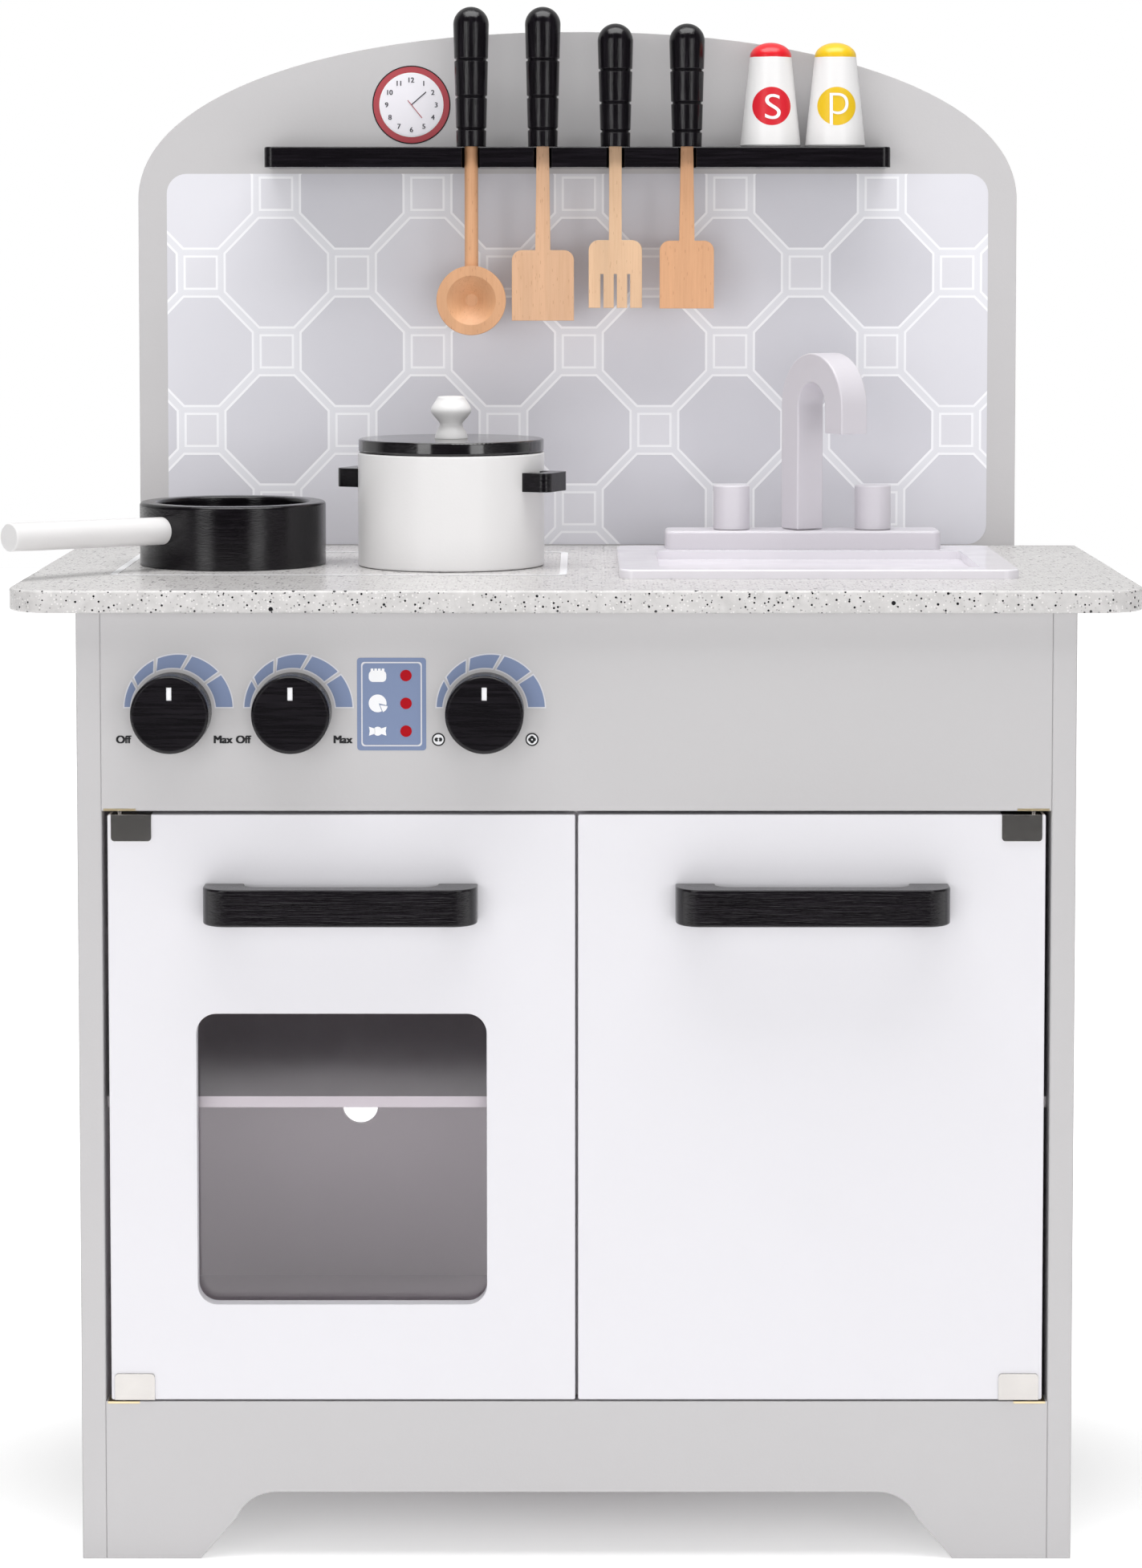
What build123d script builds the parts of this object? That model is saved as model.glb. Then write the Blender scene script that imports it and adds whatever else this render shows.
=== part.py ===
"""Wooden toy kitchen with an oven, a cupboard, a hob, a sink and loose cookware.

Millimetres. +X is to the right, +Y is to the back and +Z is up. The origin is on the floor,
in the plane midway between the side panels and midway between the front and the back.
"""

import os
from math import cos, radians, sin

from build123d import *

# ---------------------------------------------------------------- driving sizes

WORKTOP_WIDTH = 600
WORKTOP_DEPTH = 300
WORKTOP_TOP = 518
BOARD = 12
PANEL = 13
THIN_BOARD = 6
BACK_BOARD = 5
CARCASS_WIDTH = 526
OVERHANG = 8
TOTAL_HEIGHT = 838.4

FRONT = -149
BACK = FRONT + WORKTOP_DEPTH
FASCIA_FRONT = FRONT + OVERHANG
FASCIA_BACK = FASCIA_FRONT + BOARD
WORKTOP_BASE = WORKTOP_TOP - BOARD
OUTER_X = CARCASS_WIDTH / 2
INNER_X = OUTER_X - PANEL
SPLASHBACK_BACK = BACK + BOARD

SCREW_GAP = 0.05
RUNNING_GAP = 0.05
REST_GAP = 0.3
EDGE_ROUND = 1.0

SIDES = (-1, 1)
CORNER = (Align.MIN, Align.MIN, Align.MIN)
STANDING = (Align.CENTER, Align.CENTER, Align.MIN)


# ---------------------------------------------------------------- small helpers

def block(x_span, y_span, z_span, mode=Mode.ADD):
    """A block given by where it starts and ends along each axis."""
    (x0, x1), (y0, y1), (z0, z1) = (sorted(span) for span in (x_span, y_span, z_span))
    with Locations((x0, y0, z0)):
        Box(x1 - x0, y1 - y0, z1 - z0, align=CORNER, mode=mode)


def rod(start, direction, radius, length, mode=Mode.ADD):
    """A round bar that starts at a point and runs along a direction."""
    with Locations(Plane(origin=start, z_dir=direction)):
        Cylinder(radius, length, align=STANDING, mode=mode)


SCREW_HEAD_RADIUS = 3.5
SCREW_HEAD_DEPTH = 2.2
SCREW_SHANK_RADIUS = 1.6
RECESS_LENGTH = 3.6
RECESS_WIDTH = 0.8
RECESS_DEPTH = 1.0


def flush_screw(head_centre, direction, length):
    """A countersunk screw with a cross recess, its head flush at head_centre."""
    with Locations(Plane(origin=head_centre, z_dir=direction)):
        Cone(SCREW_HEAD_RADIUS, SCREW_SHANK_RADIUS, SCREW_HEAD_DEPTH, align=STANDING)
        Cylinder(SCREW_SHANK_RADIUS, length, align=STANDING)
        Box(RECESS_LENGTH, RECESS_WIDTH, RECESS_DEPTH, align=STANDING, mode=Mode.SUBTRACT)
        Box(RECESS_WIDTH, RECESS_LENGTH, RECESS_DEPTH, align=STANDING, mode=Mode.SUBTRACT)


def flush_screw_hole(head_centre, direction, length):
    """The hole for a flush_screw, cut from the piece being built."""
    with Locations(Plane(origin=head_centre, z_dir=direction)):
        Cone(SCREW_HEAD_RADIUS + SCREW_GAP, SCREW_SHANK_RADIUS + SCREW_GAP, SCREW_HEAD_DEPTH,
             align=STANDING, mode=Mode.SUBTRACT)
        Cylinder(SCREW_SHANK_RADIUS + SCREW_GAP, length + SCREW_GAP, align=STANDING,
                 mode=Mode.SUBTRACT)


def finish(piece, name):
    """Name a finished piece and write it to its own file."""
    piece.part.label = name
    export_step(piece.part, f"parts/{name}.step")


os.makedirs("parts", exist_ok=True)

# ---------------------------------------------------------------- carcass sizes

FASCIA_BASE = 401
PLINTH_TOP = 85
DOOR_BASE = PLINTH_TOP + 1
DOOR_TOP = FASCIA_BASE - 2

FLOOR_TOP = 73
FLOOR_BASE = FLOOR_TOP - BOARD
INSIDE_FRONT = FASCIA_BACK + 1
SHELF_FRONT = FASCIA_BACK + 4
BACK_BOARD_FRONT = BACK - BACK_BOARD
SHELF_TOP = 245.4
SHELF_BASE = SHELF_TOP - THIN_BOARD
GROOVE = 3
DIVIDER_X = BOARD / 2

CARCASS_SCREW_LENGTH = 32
FASCIA_MID_Y = (FASCIA_FRONT + FASCIA_BACK) / 2
FLOOR_MID_Z = (FLOOR_TOP + FLOOR_BASE) / 2
SIDE_SCREW_SPOTS = [
    (FASCIA_MID_Y, FASCIA_BASE + 24),
    (FASCIA_MID_Y, WORKTOP_BASE - 24),
    (FASCIA_MID_Y, 20),
    (FASCIA_MID_Y, 58),
    (-90, FLOOR_MID_Z),
    (0, FLOOR_MID_Z),
    (90, FLOOR_MID_Z),
]
DIVIDER_SCREW_SPOTS = [(0, -70), (0, 70)]
SIDE_SCREWS = [
    ((side * OUTER_X, y, z), (-side, 0, 0)) for side in SIDES for y, z in SIDE_SCREW_SPOTS
]
DIVIDER_SCREWS = [((x, y, FLOOR_BASE), (0, 0, 1)) for x, y in DIVIDER_SCREW_SPOTS]
CARCASS_SCREWS = SIDE_SCREWS + DIVIDER_SCREWS

DOWEL_RADIUS = 3
DOWEL_LENGTH = 20
DOWEL_UP = 7
PANEL_MID_X = (OUTER_X + INNER_X) / 2
DOWEL_SPOTS = [(side * PANEL_MID_X, y) for side in SIDES for y in (-100, 0, 100)]
DOWEL_SPOTS += [(0, -60), (0, 80)]

SPLASHBACK_BASE = 400
SPLASHBACK_SCREW_LENGTH = 30
BACK_SCREW_LENGTH = 22
SPLASHBACK_SCREWS = [
    (side * PANEL_MID_X, SPLASHBACK_BACK, z) for side in SIDES for z in (424, 484)
]
SPLASHBACK_SCREWS += [(x, SPLASHBACK_BACK, WORKTOP_BASE + BOARD / 2) for x in (-170, 0, 170)]
BACK_BOARD_SCREWS = [(x, BACK, FLOOR_MID_Z) for x in (-200, -80, 80, 200)]
BACK_BOARD_SCREWS += [(0, BACK, z) for z in (150, 330)]

# ---------------------------------------------------------------- side panels

for side, name in zip(SIDES, ("side_panel_left", "side_panel_right")):
    with BuildPart() as side_panel:
        block((side * INNER_X, side * OUTER_X), (FASCIA_FRONT, BACK), (0, WORKTOP_BASE))
        outer_edges = side_panel.edges().filter_by(Axis.Z).group_by(Axis.Y)[0]
        fillet(outer_edges, EDGE_ROUND)
        block((side * INNER_X, side * (INNER_X + GROOVE)), (SHELF_FRONT, BACK_BOARD_FRONT),
              (SHELF_BASE, SHELF_TOP), mode=Mode.SUBTRACT)
        for centre, direction in SIDE_SCREWS:
            if centre[0] * side > 0:
                flush_screw_hole(centre, direction, CARCASS_SCREW_LENGTH)
        for x, y in DOWEL_SPOTS:
            if x * side > 0:
                rod((x, y, WORKTOP_BASE), (0, 0, -1), DOWEL_RADIUS, DOWEL_LENGTH - DOWEL_UP,
                    mode=Mode.SUBTRACT)
        for centre in SPLASHBACK_SCREWS:
            if centre[0] * side > OUTER_X - PANEL:
                flush_screw_hole(centre, (0, -1, 0), SPLASHBACK_SCREW_LENGTH)
    finish(side_panel, name)

# ---------------------------------------------------------------- control fascia

KNOB_X = {"hob_knob_left": -212, "hob_knob_right": -149, "oven_knob": -48}
KNOB_Z = 454
SPINDLE_RADIUS = 3

HINGE_X = INNER_X - 9
HINGE_Y = FASCIA_FRONT + 5
PIN_RADIUS = 1.5
PIN_REACH = 9
PLATE_THICK = 1.2
PLATE_X_SPAN = (232, 249)

with BuildPart() as control_fascia:
    block((-INNER_X, INNER_X), (FASCIA_FRONT, FASCIA_BACK), (FASCIA_BASE, WORKTOP_BASE))
    for centre, direction in SIDE_SCREWS:
        flush_screw_hole(centre, direction, CARCASS_SCREW_LENGTH)
    for knob_x in KNOB_X.values():
        rod((knob_x, FASCIA_FRONT, KNOB_Z), (0, 1, 0), SPINDLE_RADIUS + RUNNING_GAP, BOARD,
            mode=Mode.SUBTRACT)
    for side in SIDES:
        block([side * x for x in PLATE_X_SPAN], (FASCIA_FRONT, FASCIA_BACK),
              (FASCIA_BASE, FASCIA_BASE + PLATE_THICK), mode=Mode.SUBTRACT)
        rod((side * HINGE_X, HINGE_Y, FASCIA_BASE), (0, 0, 1), PIN_RADIUS + REST_GAP,
            PIN_REACH + REST_GAP, mode=Mode.SUBTRACT)
finish(control_fascia, "control_fascia")

# ---------------------------------------------------------------- plinth

ARCH_TOP = 36
ARCH_HALF_WIDTH = 160
FOOT_INNER_X = 200
FOOT_LEAN_X = 181

with BuildPart() as plinth:
    with BuildSketch(Plane.XZ.offset(-FASCIA_BACK)):
        with BuildLine():
            for side in SIDES:
                shoulder = (side * ARCH_HALF_WIDTH, ARCH_TOP)
                hip = (side * FOOT_LEAN_X, 22)
                TangentArc(shoulder, hip, tangent=(side, 0))
                Line(hip, (side * FOOT_INNER_X, 0))
                Line((side * FOOT_INNER_X, 0), (side * INNER_X, 0))
                Line((side * INNER_X, 0), (side * INNER_X, PLINTH_TOP))
            Line((-ARCH_HALF_WIDTH, ARCH_TOP), (ARCH_HALF_WIDTH, ARCH_TOP))
            Line((-INNER_X, PLINTH_TOP), (INNER_X, PLINTH_TOP))
        make_face()
    extrude(amount=BOARD)
    for centre, direction in SIDE_SCREWS:
        flush_screw_hole(centre, direction, CARCASS_SCREW_LENGTH)
    for side in SIDES:
        block([side * x for x in PLATE_X_SPAN], (FASCIA_FRONT, FASCIA_BACK),
              (PLINTH_TOP - PLATE_THICK, PLINTH_TOP), mode=Mode.SUBTRACT)
        rod((side * HINGE_X, HINGE_Y, PLINTH_TOP), (0, 0, -1), PIN_RADIUS + REST_GAP,
            PIN_REACH + REST_GAP, mode=Mode.SUBTRACT)
finish(plinth, "plinth")

# ---------------------------------------------------------------- inside boards

with BuildPart() as cabinet_floor:
    block((-INNER_X, INNER_X), (FASCIA_BACK, BACK_BOARD_FRONT), (FLOOR_BASE, FLOOR_TOP))
    for centre, direction in CARCASS_SCREWS:
        flush_screw_hole(centre, direction, CARCASS_SCREW_LENGTH)
    for centre in BACK_BOARD_SCREWS:
        flush_screw_hole(centre, (0, -1, 0), BACK_SCREW_LENGTH)
finish(cabinet_floor, "cabinet_floor")

with BuildPart() as centre_divider:
    block((-DIVIDER_X, DIVIDER_X), (INSIDE_FRONT, BACK_BOARD_FRONT), (FLOOR_TOP, WORKTOP_BASE))
    for side in SIDES:
        block((side * (DIVIDER_X - GROOVE), side * DIVIDER_X), (SHELF_FRONT, BACK_BOARD_FRONT),
              (SHELF_BASE, SHELF_TOP), mode=Mode.SUBTRACT)
    for centre, direction in DIVIDER_SCREWS:
        flush_screw_hole(centre, direction, CARCASS_SCREW_LENGTH)
    for x, y in DOWEL_SPOTS:
        rod((x, y, WORKTOP_BASE), (0, 0, -1), DOWEL_RADIUS, DOWEL_LENGTH - DOWEL_UP,
            mode=Mode.SUBTRACT)
    for centre in BACK_BOARD_SCREWS:
        flush_screw_hole(centre, (0, -1, 0), BACK_SCREW_LENGTH)
finish(centre_divider, "centre_divider")

for side, name in zip(SIDES, ("oven_shelf", "cupboard_shelf")):
    with BuildPart() as shelf:
        block((side * (DIVIDER_X - GROOVE), side * (INNER_X + GROOVE)),
              (SHELF_FRONT, BACK_BOARD_FRONT), (SHELF_BASE, SHELF_TOP))
    finish(shelf, name)

CABLE_HOLE_RADIUS = 10.5
CABLE_HOLE_X = -131.7
CABLE_HOLE_Z = 176.8

with BuildPart() as cabinet_back:
    block((-INNER_X, INNER_X), (BACK_BOARD_FRONT, BACK), (FLOOR_BASE, WORKTOP_BASE))
    rod((CABLE_HOLE_X, BACK_BOARD_FRONT, CABLE_HOLE_Z), (0, 1, 0), CABLE_HOLE_RADIUS, BACK_BOARD,
        mode=Mode.SUBTRACT)
    for centre in BACK_BOARD_SCREWS:
        flush_screw_hole(centre, (0, -1, 0), BACK_SCREW_LENGTH)
finish(cabinet_back, "cabinet_back")

# ---------------------------------------------------------------- worktop

FRONT_CORNER = 26
BACK_CORNER = 16
WORKTOP_ROUND = 1.5

SINK_X_SPAN = (23, 240)
SINK_Y_SPAN = (FRONT + 69, FRONT + 237)
SINK_RIM = 5
SINK_FLANGE = 8
CUTOUT_GAP = 0.4
SINK_CORNER = 9

SINK_MID = (sum(SINK_X_SPAN) / 2, sum(SINK_Y_SPAN) / 2)
SINK_SIZE = (SINK_X_SPAN[1] - SINK_X_SPAN[0], SINK_Y_SPAN[1] - SINK_Y_SPAN[0])
CUTOUT_SIZE = (SINK_SIZE[0] - 2 * SINK_FLANGE, SINK_SIZE[1] - 2 * SINK_FLANGE)

with BuildPart() as worktop:
    with BuildSketch(Plane.XY.offset(WORKTOP_BASE)):
        with Locations((0, FRONT + WORKTOP_DEPTH / 2)):
            Rectangle(WORKTOP_WIDTH, WORKTOP_DEPTH)
        corners = vertices().group_by(Axis.Y)
        fillet(corners[0], FRONT_CORNER)
        fillet(corners[-1], BACK_CORNER)
    extrude(amount=BOARD)
    fillet(worktop.faces().filter_by(Axis.Z).edges(), WORKTOP_ROUND)
    with BuildSketch(Plane.XY.offset(WORKTOP_BASE)):
        with Locations(SINK_MID):
            RectangleRounded(*CUTOUT_SIZE, SINK_CORNER - 2)
    extrude(amount=BOARD, mode=Mode.SUBTRACT)
    for x, y in DOWEL_SPOTS:
        rod((x, y, WORKTOP_BASE), (0, 0, 1), DOWEL_RADIUS, DOWEL_UP, mode=Mode.SUBTRACT)
    for centre in SPLASHBACK_SCREWS:
        if abs(centre[0]) < PANEL_MID_X:
            flush_screw_hole(centre, (0, -1, 0), SPLASHBACK_SCREW_LENGTH)
finish(worktop, "worktop")

with BuildPart() as worktop_dowels:
    for x, y in DOWEL_SPOTS:
        rod((x, y, WORKTOP_BASE + DOWEL_UP), (0, 0, -1), DOWEL_RADIUS, DOWEL_LENGTH)
finish(worktop_dowels, "worktop_dowels")

# ---------------------------------------------------------------- splashback

ARCH_START = 724.4
ARCH_RISE = 101.1
ARCH_EXPONENT = 2.15
ARCH_POINTS = 14


def arch_height(x):
    """Height of the splashback's top edge: a half superellipse between the two sides."""
    return ARCH_START + ARCH_RISE * (1 - abs(x / OUTER_X) ** ARCH_EXPONENT) ** (1 / ARCH_EXPONENT)


ARCH_XS = [-OUTER_X * cos(radians(90 * step / ARCH_POINTS)) for step in range(2 * ARCH_POINTS + 1)]

with BuildPart() as splashback:
    with BuildSketch(Plane.XZ.offset(-SPLASHBACK_BACK)):
        with BuildLine():
            Spline([(x, arch_height(x)) for x in ARCH_XS])
            Polyline((OUTER_X, ARCH_START), (OUTER_X, SPLASHBACK_BASE),
                     (-OUTER_X, SPLASHBACK_BASE), (-OUTER_X, ARCH_START))
        make_face()
    extrude(amount=BOARD)
    for centre in SPLASHBACK_SCREWS:
        flush_screw_hole(centre, (0, -1, 0), SPLASHBACK_SCREW_LENGTH)
finish(splashback, "splashback")

# ---------------------------------------------------------------- carcass fasteners

with BuildPart() as carcass_screws:
    for centre, direction in CARCASS_SCREWS:
        flush_screw(centre, direction, CARCASS_SCREW_LENGTH)
finish(carcass_screws, "carcass_screws")

with BuildPart() as back_screws:
    for centre in SPLASHBACK_SCREWS:
        flush_screw(centre, (0, -1, 0), SPLASHBACK_SCREW_LENGTH)
    for centre in BACK_BOARD_SCREWS:
        flush_screw(centre, (0, -1, 0), BACK_SCREW_LENGTH)
finish(back_screws, "back_screws")

# ---------------------------------------------------------------- utensil shelf

RACK_HALF_WIDTH = 184
RACK_DEPTH = 45
RACK_BASE = 744
RACK_TOP = RACK_BASE + BOARD
RACK_FRONT = BACK - RACK_DEPTH
RACK_CORNER = 5
NOTCH_WIDTH = 10.5
UTENSIL_X = {"ladle": -62.6, "spatula": -20.4, "fork": 22.4, "turner": 64.6}
UTENSIL_Y = RACK_FRONT + 13

with BuildPart() as utensil_shelf:
    with BuildSketch(Plane.XY.offset(RACK_BASE)):
        with Locations((0, BACK - RACK_DEPTH / 2)):
            Rectangle(2 * RACK_HALF_WIDTH, RACK_DEPTH)
        fillet(vertices().group_by(Axis.Y)[0], RACK_CORNER)
        for notch_x in UTENSIL_X.values():
            with Locations((notch_x, UTENSIL_Y)):
                Circle(NOTCH_WIDTH / 2, mode=Mode.SUBTRACT)
            with Locations((notch_x, (RACK_FRONT + UTENSIL_Y) / 2)):
                Rectangle(NOTCH_WIDTH, UTENSIL_Y - RACK_FRONT, mode=Mode.SUBTRACT)
    extrude(amount=BOARD)
    fillet(utensil_shelf.faces().sort_by(Axis.Z)[-1].edges(), EDGE_ROUND)
finish(utensil_shelf, "utensil_shelf")

# ---------------------------------------------------------------- catches and hinge plates

CATCH_WIDTH = 14
CATCH_DEPTH = 20
CATCH_HEIGHT = 34
CATCH_MID_Z = 366
STRIKE_THICK = 1
CATCH_FRONT = FASCIA_BACK + STRIKE_THICK + 0.5
POLE_WIDTH = 2
CATCH_MID_X = DIVIDER_X + CATCH_WIDTH / 2

with BuildPart() as magnetic_catches:
    for side in SIDES:
        block((side * DIVIDER_X, side * (DIVIDER_X + CATCH_WIDTH)),
              (CATCH_FRONT + POLE_WIDTH, CATCH_FRONT + CATCH_DEPTH),
              (CATCH_MID_Z - CATCH_HEIGHT / 2, CATCH_MID_Z + CATCH_HEIGHT / 2))
        for pole_side in SIDES:
            pole_x = side * CATCH_MID_X + pole_side * CATCH_WIDTH / 4
            block((pole_x - POLE_WIDTH / 2, pole_x + POLE_WIDTH / 2),
                  (CATCH_FRONT, CATCH_FRONT + CATCH_DEPTH),
                  (CATCH_MID_Z - CATCH_HEIGHT / 4, CATCH_MID_Z + CATCH_HEIGHT / 4))
finish(magnetic_catches, "magnetic_catches")

with BuildPart() as hinge_plates:
    for side in SIDES:
        for plate_base in (PLINTH_TOP - PLATE_THICK, FASCIA_BASE):
            block([side * x for x in PLATE_X_SPAN], (FASCIA_FRONT, FASCIA_BACK),
                  (plate_base, plate_base + PLATE_THICK))
        rod((side * HINGE_X, HINGE_Y, 0), (0, 0, 1), PIN_RADIUS + RUNNING_GAP, WORKTOP_TOP,
            mode=Mode.SUBTRACT)
finish(hinge_plates, "hinge_plates")

# ---------------------------------------------------------------- sink

BASIN_X_SPAN = (45, 220)
BASIN_Y_SPAN = (FRONT + 89, FRONT + 197)
BASIN_MID = (sum(BASIN_X_SPAN) / 2, sum(BASIN_Y_SPAN) / 2)
BASIN_SIZE = (BASIN_X_SPAN[1] - BASIN_X_SPAN[0], BASIN_Y_SPAN[1] - BASIN_Y_SPAN[0])
SINK_BASE = WORKTOP_BASE + 4
SINK_TOP = WORKTOP_TOP + SINK_RIM

FAUCET_MID_X = 130.5
FAUCET_MID_Y = FRONT + 221
FAUCET_DOWEL_RADIUS = 4
SPOUT_DOWEL_DEPTH = 14

with BuildPart() as sink_basin:
    with BuildSketch(Plane.XY.offset(WORKTOP_TOP)):
        with Locations(SINK_MID):
            RectangleRounded(*SINK_SIZE, SINK_CORNER)
    extrude(amount=SINK_RIM)
    fillet(sink_basin.faces().sort_by(Axis.Z)[-1].edges(), EDGE_ROUND)
    with BuildSketch(Plane.XY.offset(SINK_BASE)):
        with Locations(SINK_MID):
            RectangleRounded(CUTOUT_SIZE[0] - 2 * CUTOUT_GAP, CUTOUT_SIZE[1] - 2 * CUTOUT_GAP,
                             SINK_CORNER - 2)
    extrude(amount=WORKTOP_TOP - SINK_BASE)
    with BuildSketch(Plane.XY.offset(SINK_TOP)):
        with Locations(BASIN_MID):
            RectangleRounded(*BASIN_SIZE, 2)
    extrude(amount=-SINK_RIM, mode=Mode.SUBTRACT)
finish(sink_basin, "sink_basin")

FAUCET_BASE_SIZE = (159, 30)
FAUCET_BASE_HEIGHT = 10.7
FAUCET_BASE_TOP = SINK_TOP + FAUCET_BASE_HEIGHT
TAP_SPACING = 41
TAP_SPIGOT_RADIUS = 4
TAP_SPIGOT_LENGTH = 7
TAP_X = {"tap_left": FAUCET_MID_X - TAP_SPACING, "tap_right": FAUCET_MID_X + TAP_SPACING}

with BuildPart() as faucet_base:
    with BuildSketch(Plane.XY.offset(SINK_TOP)):
        with Locations((FAUCET_MID_X, FAUCET_MID_Y)):
            RectangleRounded(*FAUCET_BASE_SIZE, 5)
    extrude(amount=FAUCET_BASE_HEIGHT)
    fillet(faucet_base.faces().sort_by(Axis.Z)[-1].edges(), 2)
    rod((FAUCET_MID_X, FAUCET_MID_Y, SINK_TOP), (0, 0, 1), FAUCET_DOWEL_RADIUS + RUNNING_GAP,
        FAUCET_BASE_HEIGHT, mode=Mode.SUBTRACT)
    for tap_x in TAP_X.values():
        rod((tap_x, FAUCET_MID_Y, FAUCET_BASE_TOP), (0, 0, -1), TAP_SPIGOT_RADIUS + RUNNING_GAP,
            TAP_SPIGOT_LENGTH + REST_GAP, mode=Mode.SUBTRACT)
finish(faucet_base, "faucet_base")

# ---------------------------------------------------------------- faucet spout and taps

SPOUT_TOP = 636.5
SPOUT_LEG = 17
SPOUT_OUTER_RADIUS = 30.5
SPOUT_THICK = 18
NOZZLE_BASE = 591
SPOUT_TURN = 31
SPOUT_FOOT = FAUCET_BASE_TOP + REST_GAP
SPOUT_INNER_RADIUS = SPOUT_OUTER_RADIUS - SPOUT_LEG
BEND_X = SPOUT_OUTER_RADIUS - SPOUT_LEG / 2
BEND_Z = SPOUT_TOP - SPOUT_OUTER_RADIUS

# The spout's own plane: its x points the way the nozzle reaches, its y is up.
reach = (sin(radians(SPOUT_TURN)), -cos(radians(SPOUT_TURN)), 0)
across = (cos(radians(SPOUT_TURN)), sin(radians(SPOUT_TURN)), 0)
spout_plane = Plane(origin=(FAUCET_MID_X, FAUCET_MID_Y, 0), x_dir=reach, z_dir=across)

with BuildPart() as faucet_spout:
    with BuildSketch(spout_plane.offset(-SPOUT_THICK / 2)):
        up = 1 if spout_plane.y_dir.Z > 0 else -1
        with BuildLine():
            for radius in (SPOUT_OUTER_RADIUS, SPOUT_INNER_RADIUS):
                ThreePointArc((BEND_X - radius, up * BEND_Z), (BEND_X, up * (BEND_Z + radius)),
                              (BEND_X + radius, up * BEND_Z))
                Line((BEND_X - radius, up * BEND_Z), (BEND_X - radius, up * SPOUT_FOOT))
                Line((BEND_X + radius, up * BEND_Z), (BEND_X + radius, up * NOZZLE_BASE))
            Line((BEND_X - SPOUT_OUTER_RADIUS, up * SPOUT_FOOT),
                 (BEND_X - SPOUT_INNER_RADIUS, up * SPOUT_FOOT))
            Line((BEND_X + SPOUT_OUTER_RADIUS, up * NOZZLE_BASE),
                 (BEND_X + SPOUT_INNER_RADIUS, up * NOZZLE_BASE))
        make_face()
    extrude(amount=SPOUT_THICK)
    fillet(faucet_spout.edges(), EDGE_ROUND)
    rod((FAUCET_MID_X, FAUCET_MID_Y, SPOUT_FOOT), (0, 0, 1), FAUCET_DOWEL_RADIUS,
        SPOUT_DOWEL_DEPTH, mode=Mode.SUBTRACT)
finish(faucet_spout, "faucet_spout")

with BuildPart() as spout_dowel:
    rod((FAUCET_MID_X, FAUCET_MID_Y, SINK_TOP + REST_GAP), (0, 0, 1), FAUCET_DOWEL_RADIUS,
        SPOUT_FOOT + SPOUT_DOWEL_DEPTH - SINK_TOP - REST_GAP)
finish(spout_dowel, "spout_dowel")

TAP_RADIUS = 10.5
TAP_HEIGHT = 25.5

for name, tap_x in TAP_X.items():
    with BuildPart() as tap:
        rod((tap_x, FAUCET_MID_Y, SPOUT_FOOT), (0, 0, 1), TAP_RADIUS, TAP_HEIGHT)
        fillet(tap.faces().sort_by(Axis.Z)[-1].edges(), EDGE_ROUND)
        rod((tap_x, FAUCET_MID_Y, SPOUT_FOOT), (0, 0, -1), TAP_SPIGOT_RADIUS, TAP_SPIGOT_LENGTH)
    finish(tap, name)

# ---------------------------------------------------------------- control knobs

KNOB_RADIUS = 20.5
KNOB_DEPTH = 19.6
KNOB_GAP = 0.4
KNOB_ROUND = 2
KNOB_BACK = FASCIA_FRONT - KNOB_GAP
KNOB_FACE = KNOB_BACK - KNOB_DEPTH
TICK_SIZE = (2.7, 6.8)
TICK_DEPTH = 0.5
TICK_BELOW_RIM = 6
SPINDLE_IN_KNOB = 11
WASHER_RADIUS = 7
WASHER_THICK = 1.2
NUT_ACROSS_FLATS = 10
NUT_THICK = 4
SPINDLE_TAIL = 3

for name, knob_x in KNOB_X.items():
    with BuildPart() as knob:
        rod((knob_x, KNOB_BACK, KNOB_Z), (0, -1, 0), KNOB_RADIUS, KNOB_DEPTH)
        fillet(knob.faces().sort_by(Axis.Y)[0].edges(), KNOB_ROUND)
        fillet(knob.faces().sort_by(Axis.Y)[-1].edges(), EDGE_ROUND)
        tick_top = KNOB_Z + KNOB_RADIUS - TICK_BELOW_RIM
        block((knob_x - TICK_SIZE[0] / 2, knob_x + TICK_SIZE[0] / 2),
              (KNOB_FACE, KNOB_FACE + TICK_DEPTH), (tick_top - TICK_SIZE[1], tick_top),
              mode=Mode.SUBTRACT)
        rod((knob_x, KNOB_BACK, KNOB_Z), (0, -1, 0), SPINDLE_RADIUS, SPINDLE_IN_KNOB,
            mode=Mode.SUBTRACT)
    finish(knob, name)

    washer_front = FASCIA_BACK + KNOB_GAP
    nut_front = washer_front + WASHER_THICK
    with BuildPart() as knob_fixing:
        rod((knob_x, KNOB_BACK - SPINDLE_IN_KNOB, KNOB_Z), (0, 1, 0), SPINDLE_RADIUS,
            nut_front + NUT_THICK + SPINDLE_TAIL - (KNOB_BACK - SPINDLE_IN_KNOB))
        rod((knob_x, washer_front, KNOB_Z), (0, 1, 0), WASHER_RADIUS, WASHER_THICK)
        with BuildSketch(Plane.XZ.offset(-nut_front)):
            with Locations((knob_x, KNOB_Z)):
                RegularPolygon(NUT_ACROSS_FLATS / 2, 6, major_radius=False)
        extrude(amount=-NUT_THICK)
    finish(knob_fixing, f"{name}_spindle")

# ---------------------------------------------------------------- doors

DOOR_OUTER_X = 247
DOOR_INNER_X = 0.75
DOOR_FRONT = FASCIA_FRONT
DOOR_BACK = FASCIA_BACK
CAP_SHEET = 0.8
CAP_X_SPAN = (223.9, 245.1)
CAP_DROP = 14.1
PIN_IN_DOOR = 9

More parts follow.
